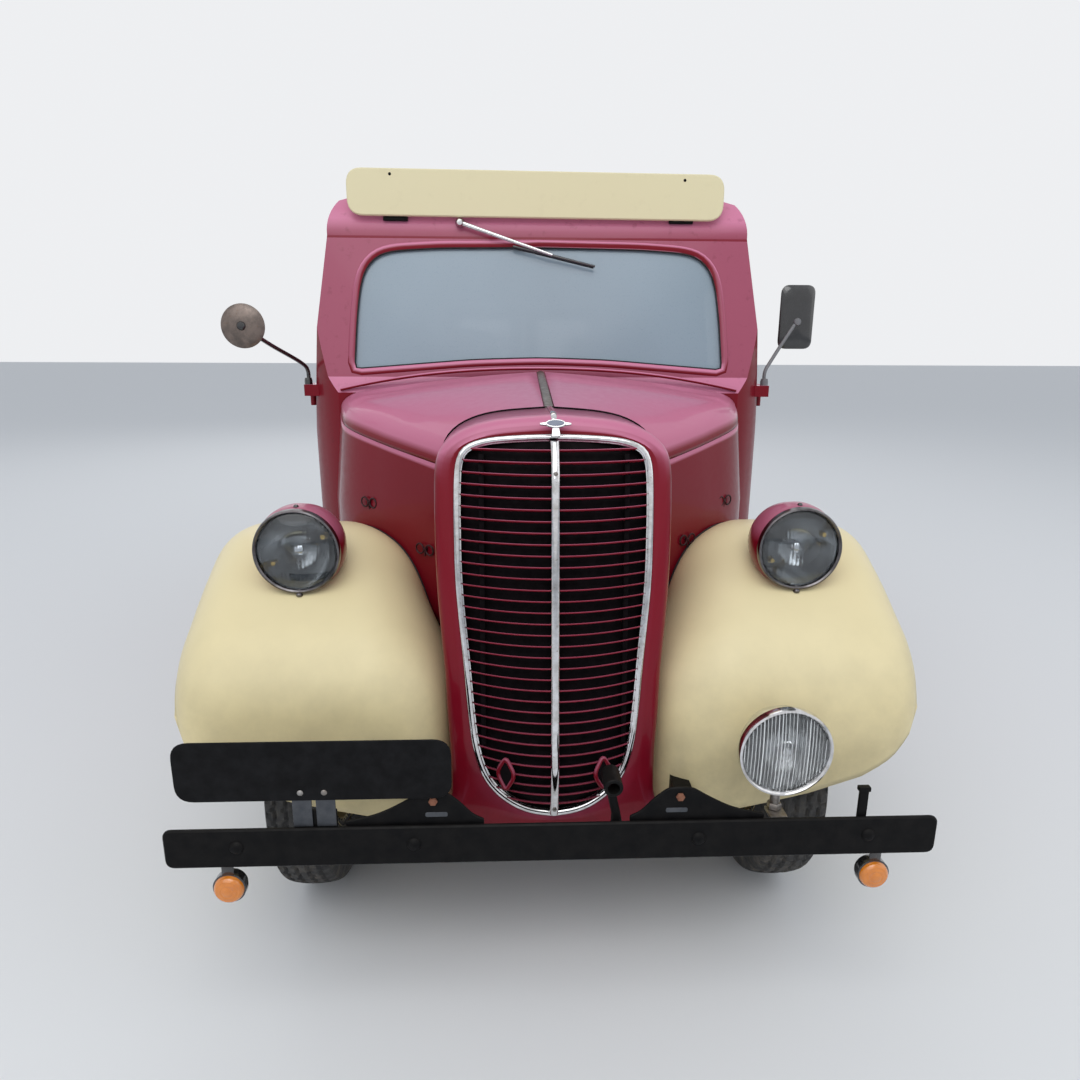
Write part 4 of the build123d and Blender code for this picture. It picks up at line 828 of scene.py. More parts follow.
# Front wings; a row is y from the axle and z of the crest, x of the inner and outer edge, and the
# radius of the inner and outer shoulder
WING_ROWS = [
    (-448, 415, 212, 806, 130, 110), (-466, 600, 212, 828, 165, 118), (-452, 720, 214, 829, 190, 125),
    (-404, 806, 220, 828, 205, 130), (-326, 868, 238, 827, 210, 132), (-192, 943, 285, 826, 194, 124),
    (-50, 986, 338, 826, 152, 114), (140, 948, 455, 826, 112, 118), (290, 836, 556, 824, 80, 124),
    (420, 666, 600, 816, 60, 120), (528, 500, 620, 806, 40, 110),
]
WING_CENTRE = (20, 420)
ARCH_RADIUS = 406
DEEPEST, WING_STEP = -297.5, 2.5
REAR_EDGE_Z = 466
INNER_LINE = [(-150, 263), (20, 438), (170, 562), (368, 622), (390, 640), (425, 660), (470, 676), (530, 690)]
LOW_LINE = [(150, 430), (236, 421), (341, 412), (478, 444), (569, 468), (680, 510), (744, 556), (786, 604),
            (812, 650), (826, 700), (832, 744)]

NOSE_HEIGHTS = [(z, x) for x, z in NOSE_SIDE]


def inner_x(y, z):
    """Where the wing meets the nose, the bonnet's side or the body."""
    if y < -150:
        return along_line(NOSE_HEIGHTS, z) + 0.5
    return along_line(INNER_LINE, y)


def clear_of_body(p):
    return p[0] > inner_x(p[1], p[2])


def above_edge(p):
    if p[1] < -100:
        return p[2] > along_line(LOW_LINE, p[0])
    return p[2] > REAR_EDGE_Z


def wing_profile(wing_row):
    """Points across the wing from its inner edge over the crest to the wheel arch."""
    y, z, x_in, x_out, r_in, r_out = wing_row
    length = hypot(y - WING_CENTRE[0], z - WING_CENTRE[1])
    ny, nz = (y - WING_CENTRE[0]) / length, (z - WING_CENTRE[1]) / length
    flat = []
    for a in between(0, pi / 2, 16):
        flat.append((x_in + r_in * (1 - cos(a)), -r_in * (1 - sin(a))))
    flat += [(x, 0) for x in between(x_in + r_in, x_out - r_out, 6)[1:-1]]
    for a in between(0, pi / 2, 14):
        flat.append((x_out - r_out * (1 - sin(a)), -r_out * (1 - cos(a))))
    low = 0.0
    while low > DEEPEST and hypot(y + ny * low, z + nz * low - AXLE_Z) >= ARCH_RADIUS:
        low -= WING_STEP
    low = min(low + WING_STEP, -r_out - 6)
    flat += [(x_out, h) for h in between(-r_out, low, 6)[1:]]
    points = [(x, y + ny * h, z + nz * h) for x, h in flat]
    keep = [p for p in points if clear_of_body(p)]
    first = points.index(keep[0])
    if first > 0:
        keep.insert(0, crossing(points[first - 1], keep[0], clear_of_body))
    return spread(keep, 44)


def wing_column(path):
    """The stretch of a line along the wing that lies above its lower edge."""
    good = [i for i, p in enumerate(path) if above_edge(p)]
    low, high = good[0], good[-1]
    line = path[low:high + 1]
    if low > 0:
        line.insert(0, crossing(path[low - 1], path[low], above_edge))
    if high < len(path) - 1:
        line.append(crossing(path[high + 1], path[high], above_edge))
    return [(x, yf(y), z) for x, y, z in spread(line, 96)]


wing_sections = [wing_profile(row) for row in catmull(WING_ROWS, 9)]
columns = [wing_column(list(path)) for path in zip(*wing_sections)]
for mirror, word in SIDES:
    wing = Piece("front_wing_sheet_" + word, CREAM)
    wing.add(grid(columns[::-1]))
    wing.build(replaces=("front_wing_" + word,), slot="cream_paint", mirror=mirror, solid=3, angle=60)
    bead = Piece("wing_bead_" + word, CREAM, SEAL)
    bead.add(tube([(x - 3.5, y, z + 2) for x, y, z in columns[-1]], 4, 8))
    bead.add(tube([(x - 1, y + 4, z + 2) for x, y, z in (column[0] for column in columns[3:])], 4, 8))
    bead.add(tube([(x + 1, y, z + 2) for x, y, z in columns[0][8:70]], 3.4, 8), 1)
    bead.build(slot="cream_paint", mirror=mirror)


# Head lamps
def fluted(at, radius, rise, drop, pitch, rib):
    """A domed glass with upright flutes."""
    rows = []
    count = int(2 * radius / 1.2)
    for i in range(count + 1):
        x = (radius - 0.2) * sin(pi * (i / count - 0.5))
        reach = sqrt(max(radius ** 2 - x ** 2, 0.01))
        face, inside_face = [], []
        for k in range(21):
            z = reach * sin(pi * (k / 20 - 0.5))
            bow = rise - drop * (x * x + z * z) / radius ** 2
            face.append((at[0] + x, at[1] - bow, at[2] + z))
            cut = 1.2 + rib * (1 - abs(cos(x * pi / pitch)))
            inside_face.append((at[0] + x, at[1] - bow + cut, at[2] + z))
        rows.append(face + inside_face[::-1])
    return grid(rows, close_cols=True)


LAMP = (560, yf(-277), 986)
LAMP_RADIUS = 96
for sign, word in SIGNS:
    at = (LAMP[0] * sign, LAMP[1], LAMP[2])
    r = LAMP_RADIUS
    lamp = Piece("head_lamp_bowl_" + word, MAROON, RIM)
    lamp.add(turned([
        (r - 6, 14), (r - 2, 9), (r + 1, -4), (r + 2.5, -18), (r + 2, -36), (r - 6, -72), (r - 22, -106),
        (r - 46, -136), (r - 72, -155), (16, -163), (0, -165),
    ], at, AHEAD, 64))
    lamp.add(turned([
        (r - 9, 16), (r - 8.5, 24), (r - 5.5, 27), (r - 2, 25.5), (r - 0.5, 19), (r - 0.5, 12), (r - 4, 9),
        (r - 8, 12),
    ], at, AHEAD, 72, closed=True), 1)
    stalk = [moved(at, 0, 49 + 11 * t, -84 - 44 * t) for t in between(0, 1, 8)]
    lamp.add(tube(stalk, [28, 27.5, 27, 26, 26, 27, 29, 33, 40], 24))
    knob = [(0, 9), (4, 8), (6, 5), (6, 0), (7, -2)]
    lamp.add(turned(knob, moved(at, 0, 4, r - 3.5), (0, -0.3, 1), 16), 1)
    clip = [(0, 10), (5, 9), (7.5, 6), (7.5, 2), (5, 0), (5, -8)]
    lamp.add(turned(clip, moved(at, 0, -20, 1 - r), (0, -0.5, -1), 16), 1)
    lamp.build(replaces=("head_lamp_" + word,), slot="maroon_paint")
    inside = Piece("head_lamp_reflector_" + word, BOWL, CHROME, GLINT_BRASS)
    inside.add(turned([
        (r - 8, 15), (r - 14, -2), (r - 28, -26), (r - 48, -46), (r - 72, -58), (0, -62),
    ], at, AHEAD, 56))
    inside.add(turned([(0, 6), (8, 4), (14, -3), (15, -12), (10, -22), (8, -58)], at, AHEAD, 24), 1)
    # Two small brass bodies in each reflector whose gold gives the golden glints: painted glints
    for side in (1, -1):
        glint_body = [(0, 12), (5, 10), (7, 2), (6, -14)]
        inside.add(turned(glint_body, moved(at, side * 57, 0, side * 30), AHEAD, 16), 2)
    inside.build(slot="bright_trim")
    lens = Piece("head_lamp_lens_" + word, LAMP_GLASS)
    lens.add(fluted(at, r - 9, 37, 17, 9.0, 0.7))
    lens.build(slot="window_glass", angle=30)

# Fog lamp with a ribbed glass
FOG = (450, BEAM_Y + 10, 652)
FOG_RADIUS = 94
fog = Piece("fog_lamp_shell", CHROME, STEEL)
r = FOG_RADIUS
fog.add(turned([
    (r - 8, 12), (r - 6, 6), (r - 9, -8), (r - 14, -30), (r - 28, -56), (r - 48, -74), (r - 70, -82),
    (0, -84),
], FOG, AHEAD, 64))
fog.add(turned([
    (r - 9, 12), (r - 8, 18), (r - 5, 21), (r - 1, 19), (r, 13), (r, 4), (r - 4, 2), (r - 8, 6),
], FOG, AHEAD, 72, closed=True))
post = [moved(FOG, 0, dy, dz) for dy, dz in ((24, -84), (24, -104), (22, -92), (22, -146))]
fog.add(tube(post, [17, 11, 10, 10], 20), 1)
fog.add(turned([(0, 14), (13, 14), (15, 11), (15, 2), (13, 0), (0, 0)], moved(FOG, 0, 22, -147), UP, 6), 1)
fog.add(block(FOG[0] - 18, FOG[0] + 18, BEAM_Y + 0.5, BEAM_Y + 40, 498, 505), 1)
fog.build(replaces=("fog_lamp",), slot="bright_trim")
fog_in = Piece("fog_lamp_reflector", BOWL, CHROME)
fog_in.add(turned([(r - 8, 8), (r - 20, -10), (r - 44, -32), (r - 70, -44), (0, -48)], FOG, AHEAD, 56))
fog_in.add(turned([(0, 13), (8, 12), (12, 8), (13, 0), (10, -8), (8, -44)], FOG, AHEAD, 24), 1)
fog_in.add(turned([(19, 10), (21, 12.5), (23.5, 10), (21, 7.5)], FOG, AHEAD, 40, closed=True), 1)
fog_in.build(slot="bright_trim")
fog_glass = Piece("fog_lamp_lens", FOG_GLASS)
fog_glass.add(fluted(FOG, r - 9, 21, 7, 7.0, 2.6))
fog_glass.build(slot="window_glass", angle=30)

# Front bumper
bumper = Piece("front_bumper_blade", BLACK)
ends = rounded(rectangle(-775, 775, 420, 505), 18, 5)
bumper.add(sheet_of(ends, upright(BEAM_Y - 10), 10, 3))
for x in (-633, -285, 285, 633):
    bumper.add(turned([(0, 8), (6, 7.4), (11, 5), (14, 1.5), (14.5, 0), (14.5, -1)], (x, BEAM_Y - 9.5, 466),
                      AHEAD, 24))
bumper.add(block(612, 630, BEAM_Y + 0.5, BEAM_Y + 9, 470, 566, 1.5))
bumper.add(block(609, 633, BEAM_Y - 1, BEAM_Y + 12, 558, 568, 1.5))
bumper.build(replaces=("front_bumper",), slot="chassis_black")

# Shaped brackets between the bumper and the frame
for mirror, word in SIDES:
    bracket = Piece("bumper_bracket_" + word, BLACK, ZINC, RUST)
    gull = rounded([(146, 500), (420, 500), (420, 512), (356, 526), (306, 552), (270, 575), (222, 575),
                    (194, 552), (168, 522), (146, 512)], [2, 2, 5, 26, 30, 14, 14, 22, 16, 5], 4)
    bracket.add(sheet_of(gull, upright(BEAM_Y + 1), 6, 1.5))
    slot_hole = rounded(rectangle(218, 262, 520, 530), 4)
    bracket.add(sheet_of(slot_hole, upright(BEAM_Y + 0.4), 0.6, 0.2), 1)
    bracket.add(turned([(0, 6), (7, 6), (9, 4), (9, 0)], (246, BEAM_Y + 1, 555), AHEAD, 6), 2)
    bracket.build(slot="chassis_black", mirror=mirror)

# Number plate, bare, on its two straps
PLATE_X = -474
PLATE_Z = 630
plate = Piece("number_plate_board", PLATE, STEEL, BLACK, ZINC)
board = rounded(rectangle(PLATE_X - 266.5, PLATE_X + 266.5, PLATE_Z - 63.5, PLATE_Z + 63.5), 36, 6)
plate.add(sheet_of(board, upright(BEAM_Y - 8), 4, 1.2))
for x in (PLATE_X - 27, PLATE_X + 19):
    plate.add(turned([(0, 2.8), (3.5, 2.3), (6, 0.6), (6, 0)], (x, BEAM_Y - 8, PLATE_Z - 46), AHEAD, 16), 1)
    plate.add(block(x - 19, x + 19, BEAM_Y - 3.5, BEAM_Y, 506, PLATE_Z + 40, 1), 3)
plate.add(block(PLATE_X - 47, PLATE_X + 39, BEAM_Y + 0.5, BEAM_Y + 6, 470, 540, 1.5), 2)
plate.build(replaces=("number_plate",), slot="plate_black")

# Guide for the starting handle
guide = Piece("handle_guide_tube", BLACK)
guide_y = BEAM_Y + 12
ring = [(12.2, 30), (17, 30), (19, 28), (19, -28), (17, -30), (12.2, -30)]
guide.add(turned(ring, (109, guide_y, 587), AHEAD, 32, closed=True))
stem = [(109, guide_y + 10, 571), (112, guide_y + 10, 545), (120, guide_y + 10, 510), (122, guide_y + 9, 484)]
guide.add(tube(stem, [11, 9, 9, 12], 16))
guide.add(block(104, 140, BEAM_Y + 0.5, BEAM_Y + 24, 472, 484))
guide.build(replaces=("handle_guide",), slot="chassis_black")

# Indicator lamps
lamps = Piece("indicator_lamps", AMBER, GLOSS)
for x in (660, -660):
    at = (x, BEAM_Y, 365)
    lamps.add(turned([
        (0, 13.5), (9, 13.2), (12, 12), (14, 12.6), (18, 12), (21, 10.6), (23, 11), (26, 9), (28, 7),
        (30, 2), (30, -4),
    ], at, AHEAD, 48))
    lamps.add(turned([(30, 0), (33, -1), (33, -16), (30, -24), (20, -26), (0, -26)], at, AHEAD, 40), 1)
    lamps.add(block(x - 12, x + 12, BEAM_Y + 0.5, BEAM_Y + 4, 388, 500, 1), 1)
lamps.build(replaces=("indicators",), slot="amber_lens")


# Windscreen surround and its rubber
SCREEN = [(0, 1713), (300, 1709), (455, 1699), (505, 1670), (533, 1615), (546, 1500), (553, 1356),
          (400, 1368), (200, 1384), (0, 1390)]
SCREEN_BASE = (yf(405), 1335)
SCREEN_RAKE = (yf(498) - yf(405)) / (1713 - 1335)


def screen_y(z):
    return SCREEN_BASE[0] + (z - SCREEN_BASE[1]) * SCREEN_RAKE


outline = SCREEN + [(-x, z) for x, z in reversed(SCREEN[1:-1])]
outline = rounded(outline, [20, 40, 60, 60, 60, 60, 16, 40, 60, 60, 60, 40, 16, 60, 60, 60, 60, 40], 6)
screen_loop = resample(outline, 150)


def on_screen(loop, out):
    return [(x, screen_y(z) - out, z) for x, z in loop]


screen_trim = Piece("windscreen_surround", MAROON, SEAL)
screen_trim.add(tube(on_screen(inset(screen_loop, -9), -2), 11, 16, closed=True, flat=0.45))
screen_trim.add(tube(on_screen(inset(screen_loop, 1.5), -2), 2.6, 8, closed=True), 1)
screen_trim.build(slot="maroon_paint")

# Scuttle moulding under the windscreen and the bead where the bonnet meets the body
bead = Piece("scuttle_bead", MAROON)
line = [(x, yf(380) - 2, strip_z(yf(368)) + 9 - (abs(x) / 590) ** 2.2 * 62) for x in range(-590, 591, 20)]
bead.add(tube(line, 5, 10))
bead.build(slot="maroon_paint")


# Body outlines used by the pieces on its sides
SILL_X, SILL_Z = 668, 500
WAIST_X, WAIST_Z = 700, 1165
TOP_X, TOP_Z = 630, 1742
SWELL = 16


def body_x(z):
    """Half the body's width: it swells up to the waist and narrows above it."""
    if z < WAIST_Z:
        t = (z - SILL_Z) / (WAIST_Z - SILL_Z)
        return SILL_X + (WAIST_X - SILL_X) * t + SWELL * sin(pi * t)
    return WAIST_X - (WAIST_X - TOP_X) * (z - WAIST_Z) / (TOP_Z - WAIST_Z)


def side_loop(points, radius, out):
    return [(body_x(z) + out, y, z) for y, z in resample(rounded(points, radius, 6), 90)]


door_window = [(yf(640), 1210), (yf(1085), 1210), (yf(1085), 1630), (yf(665), 1630)]
for mirror, word in SIDES:
    trim = Piece("door_trim_" + word, SEAL, CHROME, MAROON)
    trim.add(tube(side_loop(door_window, 50, -1), 5, 8, closed=True))
    wider = [(y + dy, z + dz) for (y, z), (dy, dz) in zip(door_window, ((-9, -9), (9, -9), (9, 9), (-9, 9)))]
    trim.add(tube(side_loop(wider, 58, 0), 5, 8, closed=True), 2)
    base = (body_x(1080), yf(1090), 1080)
    trim.add(turned([(0, 8), (10, 8), (15, 5), (18, 1), (18, -2)], base, OUTWARD, 32), 1)
    trim.add(turned([(7, 4), (7, 30), (8, 34)], base, OUTWARD, 20), 1)
    lever = ((33, 6, 0), (37, -20, 1), (37, -60, 2), (33, -92, 1), (30, -100, 0))
    trim.add(tube([moved(base, *step) for step in lever], [9, 9, 7.5, 6.5, 4], 14, flat=0.8), 1)
    trim.build(body="cab_door_" + word, slot="bright_trim", mirror=mirror)
    for index, z in enumerate((760, 1275)):
        strap = Piece("door_hinge_%s_%d" % (word, index), MAROON, STEEL)
        strap.add(turned([(0, 2), (9.4, 1.6), (9.4, -30), (0, -32)], (712, yf(544), z - 2), UP, 24))
        for k in (20, 46):
            strap.add(rivet((716.5, yf(550) + k, z - 17)), 1)
        strap.build(body="cab_door_" + word, slot="maroon_paint", mirror=mirror)
        knuckle = Piece("post_hinge_%s_%d" % (word, index), MAROON, STEEL)
        knuckle.add(turned([(0, 35), (7, 35), (9.6, 33), (9.6, 1), (0, 0.6)], (712, yf(544), z), UP, 24))
        for dy in (-70, -30):
            knuckle.add(rivet((716.5, yf(544) + dy, z + 17), radius=6.5), 1)
        knuckle.build(slot="maroon_paint", mirror=mirror)

# Gutters
for mirror, word in SIDES:
    gutter = Piece("gutter_bead_" + word, MAROON)
    line = [(638, yf(650), 1750), (640, yf(900), 1749), (640, 1400, 1749), (638, 1800, 1750)]
    gutter.add(tube(line, 5.5, 10))
    gutter.build(slot="maroon_paint", mirror=mirror)

# Serving hatch: the line round it and its handle
HATCH = (yf(1420), yf(2480), 1180, 1660)
hatch = Piece("hatch_trim", MAROON, CHROME)
seal_line = rectangle(HATCH[0] + 14, HATCH[1] - 14, HATCH[2] + 14, HATCH[3] - 22)
hatch.add(tube(side_loop(seal_line, 20, 0), 4, 8, closed=True))
middle = (body_x(1215), (HATCH[0] + HATCH[1]) / 2, 1215)
for dy in (-50, 50):
    hatch.add(turned([(0, 6), (11, 6), (14, 3), (14, -2)], moved(middle, 0, dy, 0), OUTWARD, 24), 1)
grip = ((4, -50), (24, -44), (28, 0), (24, 44), (4, 50))
hatch.add(tube([moved(middle, out, dy, 0) for out, dy in grip], 5.5, 12), 1)
hatch.build(body="serving_hatch", slot="maroon_paint")

# Rear doors: window rubbers, hinges, handle
for sign, word in SIGNS:
    rear = Piece("rear_door_trim_" + word, SEAL, CHROME, MAROON)
    loop = resample(rounded(rectangle(sign * 90, sign * 430, 1230, 1600), 45, 6), 80)
    rear.add(tube([(x, BODY_REAR_Y - 1, z) for x, z in loop], 5.5, 8, closed=True))
    rear.add(tube([(x, BODY_REAR_Y + 1, z) for x, z in inset(loop, -9)], 5, 8, closed=True), 2)
    for z in (760, 1480):
        for k in (60, 100):
            rear.add(rivet((sign * (523 - k), BODY_REAR_Y + 5, z), BACKWARD), 1)
    if sign == -1:
        base = (-60, BODY_REAR_Y, 1090)
        rear.add(turned([(0, 8), (12, 8), (17, 5), (20, 1), (20, -2)], base, BACKWARD, 32), 1)
        lever = [moved(base, 0, dy, dz) for dy, dz in ((32, 4), (34, -20), (33, -58))]
        rear.add(tube(lever, [9, 8, 5], 14), 1)
    rear.build(body="rear_door_" + word, slot="bright_trim")

# Sign board, bare
sign = Piece("sign_board_panel", SIGN, BLACK)
SIGN_Y = yf(495)
board = rounded([(-565, 1797), (550, 1791), (550, 1919), (-565, 1926)], 46, 7)
sign.add(sheet_of(board, upright(SIGN_Y), 18, 3))
for x, z in ((-437, 1909), (430, 1902)):
    sign.add(turned([(0, 1.6), (3, 1.2), (4.5, 0)], (x, SIGN_Y - 0.1, z), AHEAD, 16), 1)
for x in (-427, 427):
    sign.add(block(x - 36, x + 36, SIGN_Y + 18.2, SIGN_Y + 24, 1786, 1900, 1.5), 1)
    sign.add(block(x - 36, x + 36, SIGN_Y + 11, SIGN_Y + 30, 1784, 1796, 1.5), 1)
sign.build(replaces=("sign_board",), slot="cream_paint")

# Mirrors, each on its arm, which stands in a socket on the door post
ARM_SOCKET = [(0, 22), (10, 20), (12, 12), (12, -6), (0, -8)]
MIRROR_OUT = 860
ROUND_R = 58.3
right = (ROUND_R - MIRROR_OUT, yf(207), 1474)
mirror_right = Piece("mirror_round", BROWN, MIRROR, GLOSS)
mirror_right.add(turned([
    (0, 11), (13, 10.8), (30, 8.6), (46, 4.6), (54, 0.6), (57.8, -2), (58.1, -4), (55, -4),
], right, AHEAD, 56))
mirror_right.add(turned([(0, -3.2), (54.6, -3.4), (55.4, -2.6)], right, AHEAD, 56), 1)
arm = catmull([(-709, yf(484), 1309), (-709, yf(484), 1350), (-722, yf(452), 1376), (-766, yf(330), 1424),
               moved(right, 10, 20, -12), moved(right, 2, -8, 0)], 6)
mirror_right.add(tube(arm, 6, 14), 2)
mirror_right.add(turned([(0, 11), (9, 10), (12, 6), (12, -2)], moved(right, 0, -6, 0), AHEAD, 20), 2)
mirror_right.add(turned(ARM_SOCKET, (-709, yf(484), 1309), UP, 20), 2)
mirror_right.build(replaces=("mirror_right",), slot="mirror_black")
LEFT_HALF = 54
left = (MIRROR_OUT - LEFT_HALF, yf(515), 1516.5)
mirror_left = Piece("mirror_oblong", GLOSS, MIRROR, GREY)
rows = []
shape = resample(rounded(rectangle(left[0] - 53.6, left[0] + 53.6, 1420.5, 1612.5), 26, 8), 72)
for cut, back in ((52, -11), (32, -10.4), (13, -8), (4, -4), (0, 0), (0, 2), (2, 3.6)):
    rows.append([
        (left[0] + (x - left[0]) * (1 - cut / 54), left[1] + back,
         left[2] + (z - left[2]) * (1 - cut / 96 if cut < 52 else 0.3))
        for x, z in shape
    ])
mirror_left.add(capped(rows))
mirror_left.add(sheet_of(inset(shape, 5), upright(left[1] + 3.4), 0.5, 0.2), 1)
arm = catmull([(709, yf(484), 1309), (709, yf(484), 1350), (728, yf(489), 1385), (770, yf(500), 1450),
               (left[0] - 2, left[1] - 8, 1502)], 6)
mirror_left.add(tube(arm, 5.4, 14), 2)
mirror_left.add(turned([(0, 8), (9, 7), (12, 3), (12, -4)], (left[0], left[1] - 10, 1502), AHEAD, 20), 2)
mirror_left.add(turned(ARM_SOCKET, (709, yf(484), 1309), UP, 20), 2)
mirror_left.build(replaces=("mirror_left",), slot="mirror_black")

# Wiper
wiper = Piece("wiper_arm_and_blade", SILVER, GLOSS, SEAL)
WIPER_OUT = 18


def glass_point(x, z, out):
    return (x, screen_y(z) - out, z)


root = glass_point(-236, 1779, WIPER_OUT)
wiper.add(turned([(0, 12), (8, 11), (11, 6), (11, -4), (14, -8), (14, -14)], root, AHEAD, 24))
wiper.add(tube([root, glass_point(-165, 1755, 20), glass_point(-60, 1720, 22), glass_point(38, 1688, 20)],
               [7, 6, 5, 4], 12, flat=0.6))
blade = [glass_point(-79, 1713, 14), glass_point(40, 1686, 13), glass_point(166, 1657, 12)]
wiper.add(tube(blade, [3.4, 4.6, 3.4], 10), 1)
wiper.add(tube([glass_point(-75, 1708, 8), glass_point(162, 1653, 7)], 2.6, 6, flat=0.5), 2)
wiper.build(replaces=("wiper",), slot="wiper_steel")

# Wheels and tyres
TYRE_SECTION = [
    (-54, 205), (-55, 219), (-64, 236), (-75, 258), (-79.5, 284), (-78, 306), (-73, 324), (-66, 341),
    (-58, 348.5), (-40, 353), (-20, 355.4), (0, 356),
]
section = catmull(TYRE_SECTION + [(-across, r) for across, r in reversed(TYRE_SECTION[:-1])], 3)
TREAD_TURNS = 60
TREAD_HALF, SHOULDER_FROM = 62, 47
GROOVE_DEPTH, SHOULDER_DEPTH = 7.0, 6.0
STEPS = 240


def groove(x, turn):
    """How deep the tread is cut at this place across and round the tyre."""
    if abs(x) > TREAD_HALF:
        return 0.0
    wave = 4.0 * sin(turn * TREAD_TURNS)
    for middle in (-42, -15, 15, 42):
        if abs(x - middle - wave) < 3.6:
            return GROOVE_DEPTH
    if abs(x) > SHOULDER_FROM and sin(turn * TREAD_TURNS) > 0.55:
        return SHOULDER_DEPTH
    return 0.0


NUT_CIRCLE = 73
WHEEL_SECTION = [
    (217, -58), (217, -54), (206, -53), (206, 53), (217, 54), (217, 58), (209, 59.5), (201, 57), (199, 34),
    (196, 31), (170, 33), (150, 40), (120, 49), (112, 47), (96, 41), (84, 40), (62, 40), (58, 44), (50, 60),
    (36, 67), (18, 69.5), (0, 70), (0, 62), (30, 60), (52, 40), (84, 34), (118, 42), (150, 33), (172, 26),
    (196, 24), (198, -50), (207, -54),
]
for place, x, y, sign in (
    ("front_left", 600, AXLE_Y, 1), ("front_right", -600, AXLE_Y, -1),
    ("rear_left", 650, REAR_AXLE_Y, 1), ("rear_right", -650, REAR_AXLE_Y, -1),
):
    centre, out = (x, y, AXLE_Z), (sign, 0, 0)
    tyre = Piece("tyre_tread_" + place, RUBBER)
    rows = []
    for k in range(STEPS):
        turn = 2 * pi * k / STEPS
        row = []
        for across, r in section:
            deep = r - groove(across, turn)
            row.append(moved(centre, across, deep * sin(turn), deep * cos(turn)))
        rows.append(row)
    tyre.add(grid(rows, close_rows=True))
    tyre.add(grid([[row[0] for row in rows], [row[-1] for row in rows]], close_cols=True))
    tyre.build(body="wheel_" + place, replaces=("tyre_" + place,), slot="tyre_rubber", angle=30)
    wheel = Piece("wheel_disc_" + place, CREAM, STEEL, CHROME)
    wheel.add(turned(WHEEL_SECTION, centre, out, 72))
    for a in between(0, 2 * pi, 5)[:-1]:
        nut_section = [(0, 62), (4, 62), (7, 60), (7, 52), (10.5, 51), (11, 40), (13, 39)]
        wheel.add(turned(nut_section, moved(centre, 0, NUT_CIRCLE * sin(a), NUT_CIRCLE * cos(a)), out, 6), 1)
    wheel.add(turned([(58, 41), (56, 52), (50, 62), (38, 68.6), (20, 70.6), (0, 71)], centre, out, 48), 2)
    wheel.add(turned([(0, -31), (44, -32), (50, -20), (52, 30)], centre, out, 40), 1)
    wheel.build(body="wheel_" + place, replaces=("wheel_" + place,), slot="wheel_cream")

# Seats: crowned cushions and backs with sewn channels and piping, in pad coordinates from -1 to 1
SQUARENESS = 5.0
SIDE_PULL = 0.022
SEAM_DEPTH, SEAM_WIDTH = 0.16, 0.022
TOP_FROM, TOP_DROP = 0.55, 0.08


def cushion(name, place, size, crown, channels, replaces=()):
    """A stuffed pad; place(a, b, c) turns distances from its middle into a point."""
    bm = bmesh.new()
    bmesh.ops.create_cube(bm, size=2)
    bmesh.ops.subdivide_edges(bm, edges=bm.edges, cuts=27, use_grid_fill=True)
    shape = []
    for v in bm.verts:
        length = sum(abs(p) ** SQUARENESS for p in v.co) ** (1 / SQUARENESS)
        a, b, c = (p / length for p in v.co)
        swell = crown * (1 - a * a) * (1 - b * b)
        for k in range(1, channels):
            off_seam = (a + 1 - 2 * k / channels) / SEAM_WIDTH
            swell -= SEAM_DEPTH * exp(-off_seam ** 2) * max(0.0, 1 - b ** 6)
        if c > 0:
            c *= 0.80 + 0.20 * (1 - a ** 6) * (1 - b ** 6) + (swell * 0.5 - TOP_DROP) / c * (c > TOP_FROM)
        a, b = a * (1 - SIDE_PULL * (1 - b * b)), b * (1 - SIDE_PULL * (1 - a * a))
        shape.append(place(a * size[0], b * size[1], max(min(c, 1.0), -1.0) * size[2]))
    bm.verts.index_update()
    pad = Piece(name, LEATHER)
    pad.add((shape, [tuple(v.index for v in f.verts) for f in bm.faces]))
    bm.free()
    pad.build(replaces=replaces, slot="seat_leather", angle=180, fill=0.6)
    piping = Piece(name + "_piping", LEATHER)
    edge = resample(rounded(rectangle(-0.97, 0.97, -0.96, 0.96), 0.12, 6), 80)
    piping.add(tube([place(a * size[0], b * size[1], 0.62 * size[2]) for a, b in edge], 3.6, 8, closed=True))
    piping.build(slot="seat_leather")


# The backs lean back by 66 in 450
lean = atan2(66, 450)
for sign, word in reversed(SIGNS):
    seat_x = 330 * sign

    def on_base(a, b, c):
        return (seat_x + a, yf(1024) + b, 976 + c)

    def on_back(a, b, c):
        return (seat_x + a, yf(1256) + b * sin(lean) - c * cos(lean), 1246 + b * cos(lean) + c * sin(lean))

    cushion("seat_cushion_" + word, on_base, (212, 200, 44), 0.5, 6, ("seats",) if sign < 0 else ())
    cushion("seat_back_" + word, on_back, (212, 220, 33), 0.5, 6)

# Dashboard instruments
dials = Piece("dash_dials", CHROME, GLOSS)
for x in (-180, -120, 120):
    at = (x, yf(560) + 1, 1256)
    dials.add(turned([(0, 1.5), (24, 1.5), (27, 4), (30, 3), (31, 0), (31, -3)], at, BACKWARD, 36))
    dials.add(turned([(0, 2.2), (23, 2.2), (23.5, 1)], at, BACKWARD, 36), 1)
dials.build(slot="bright_trim")

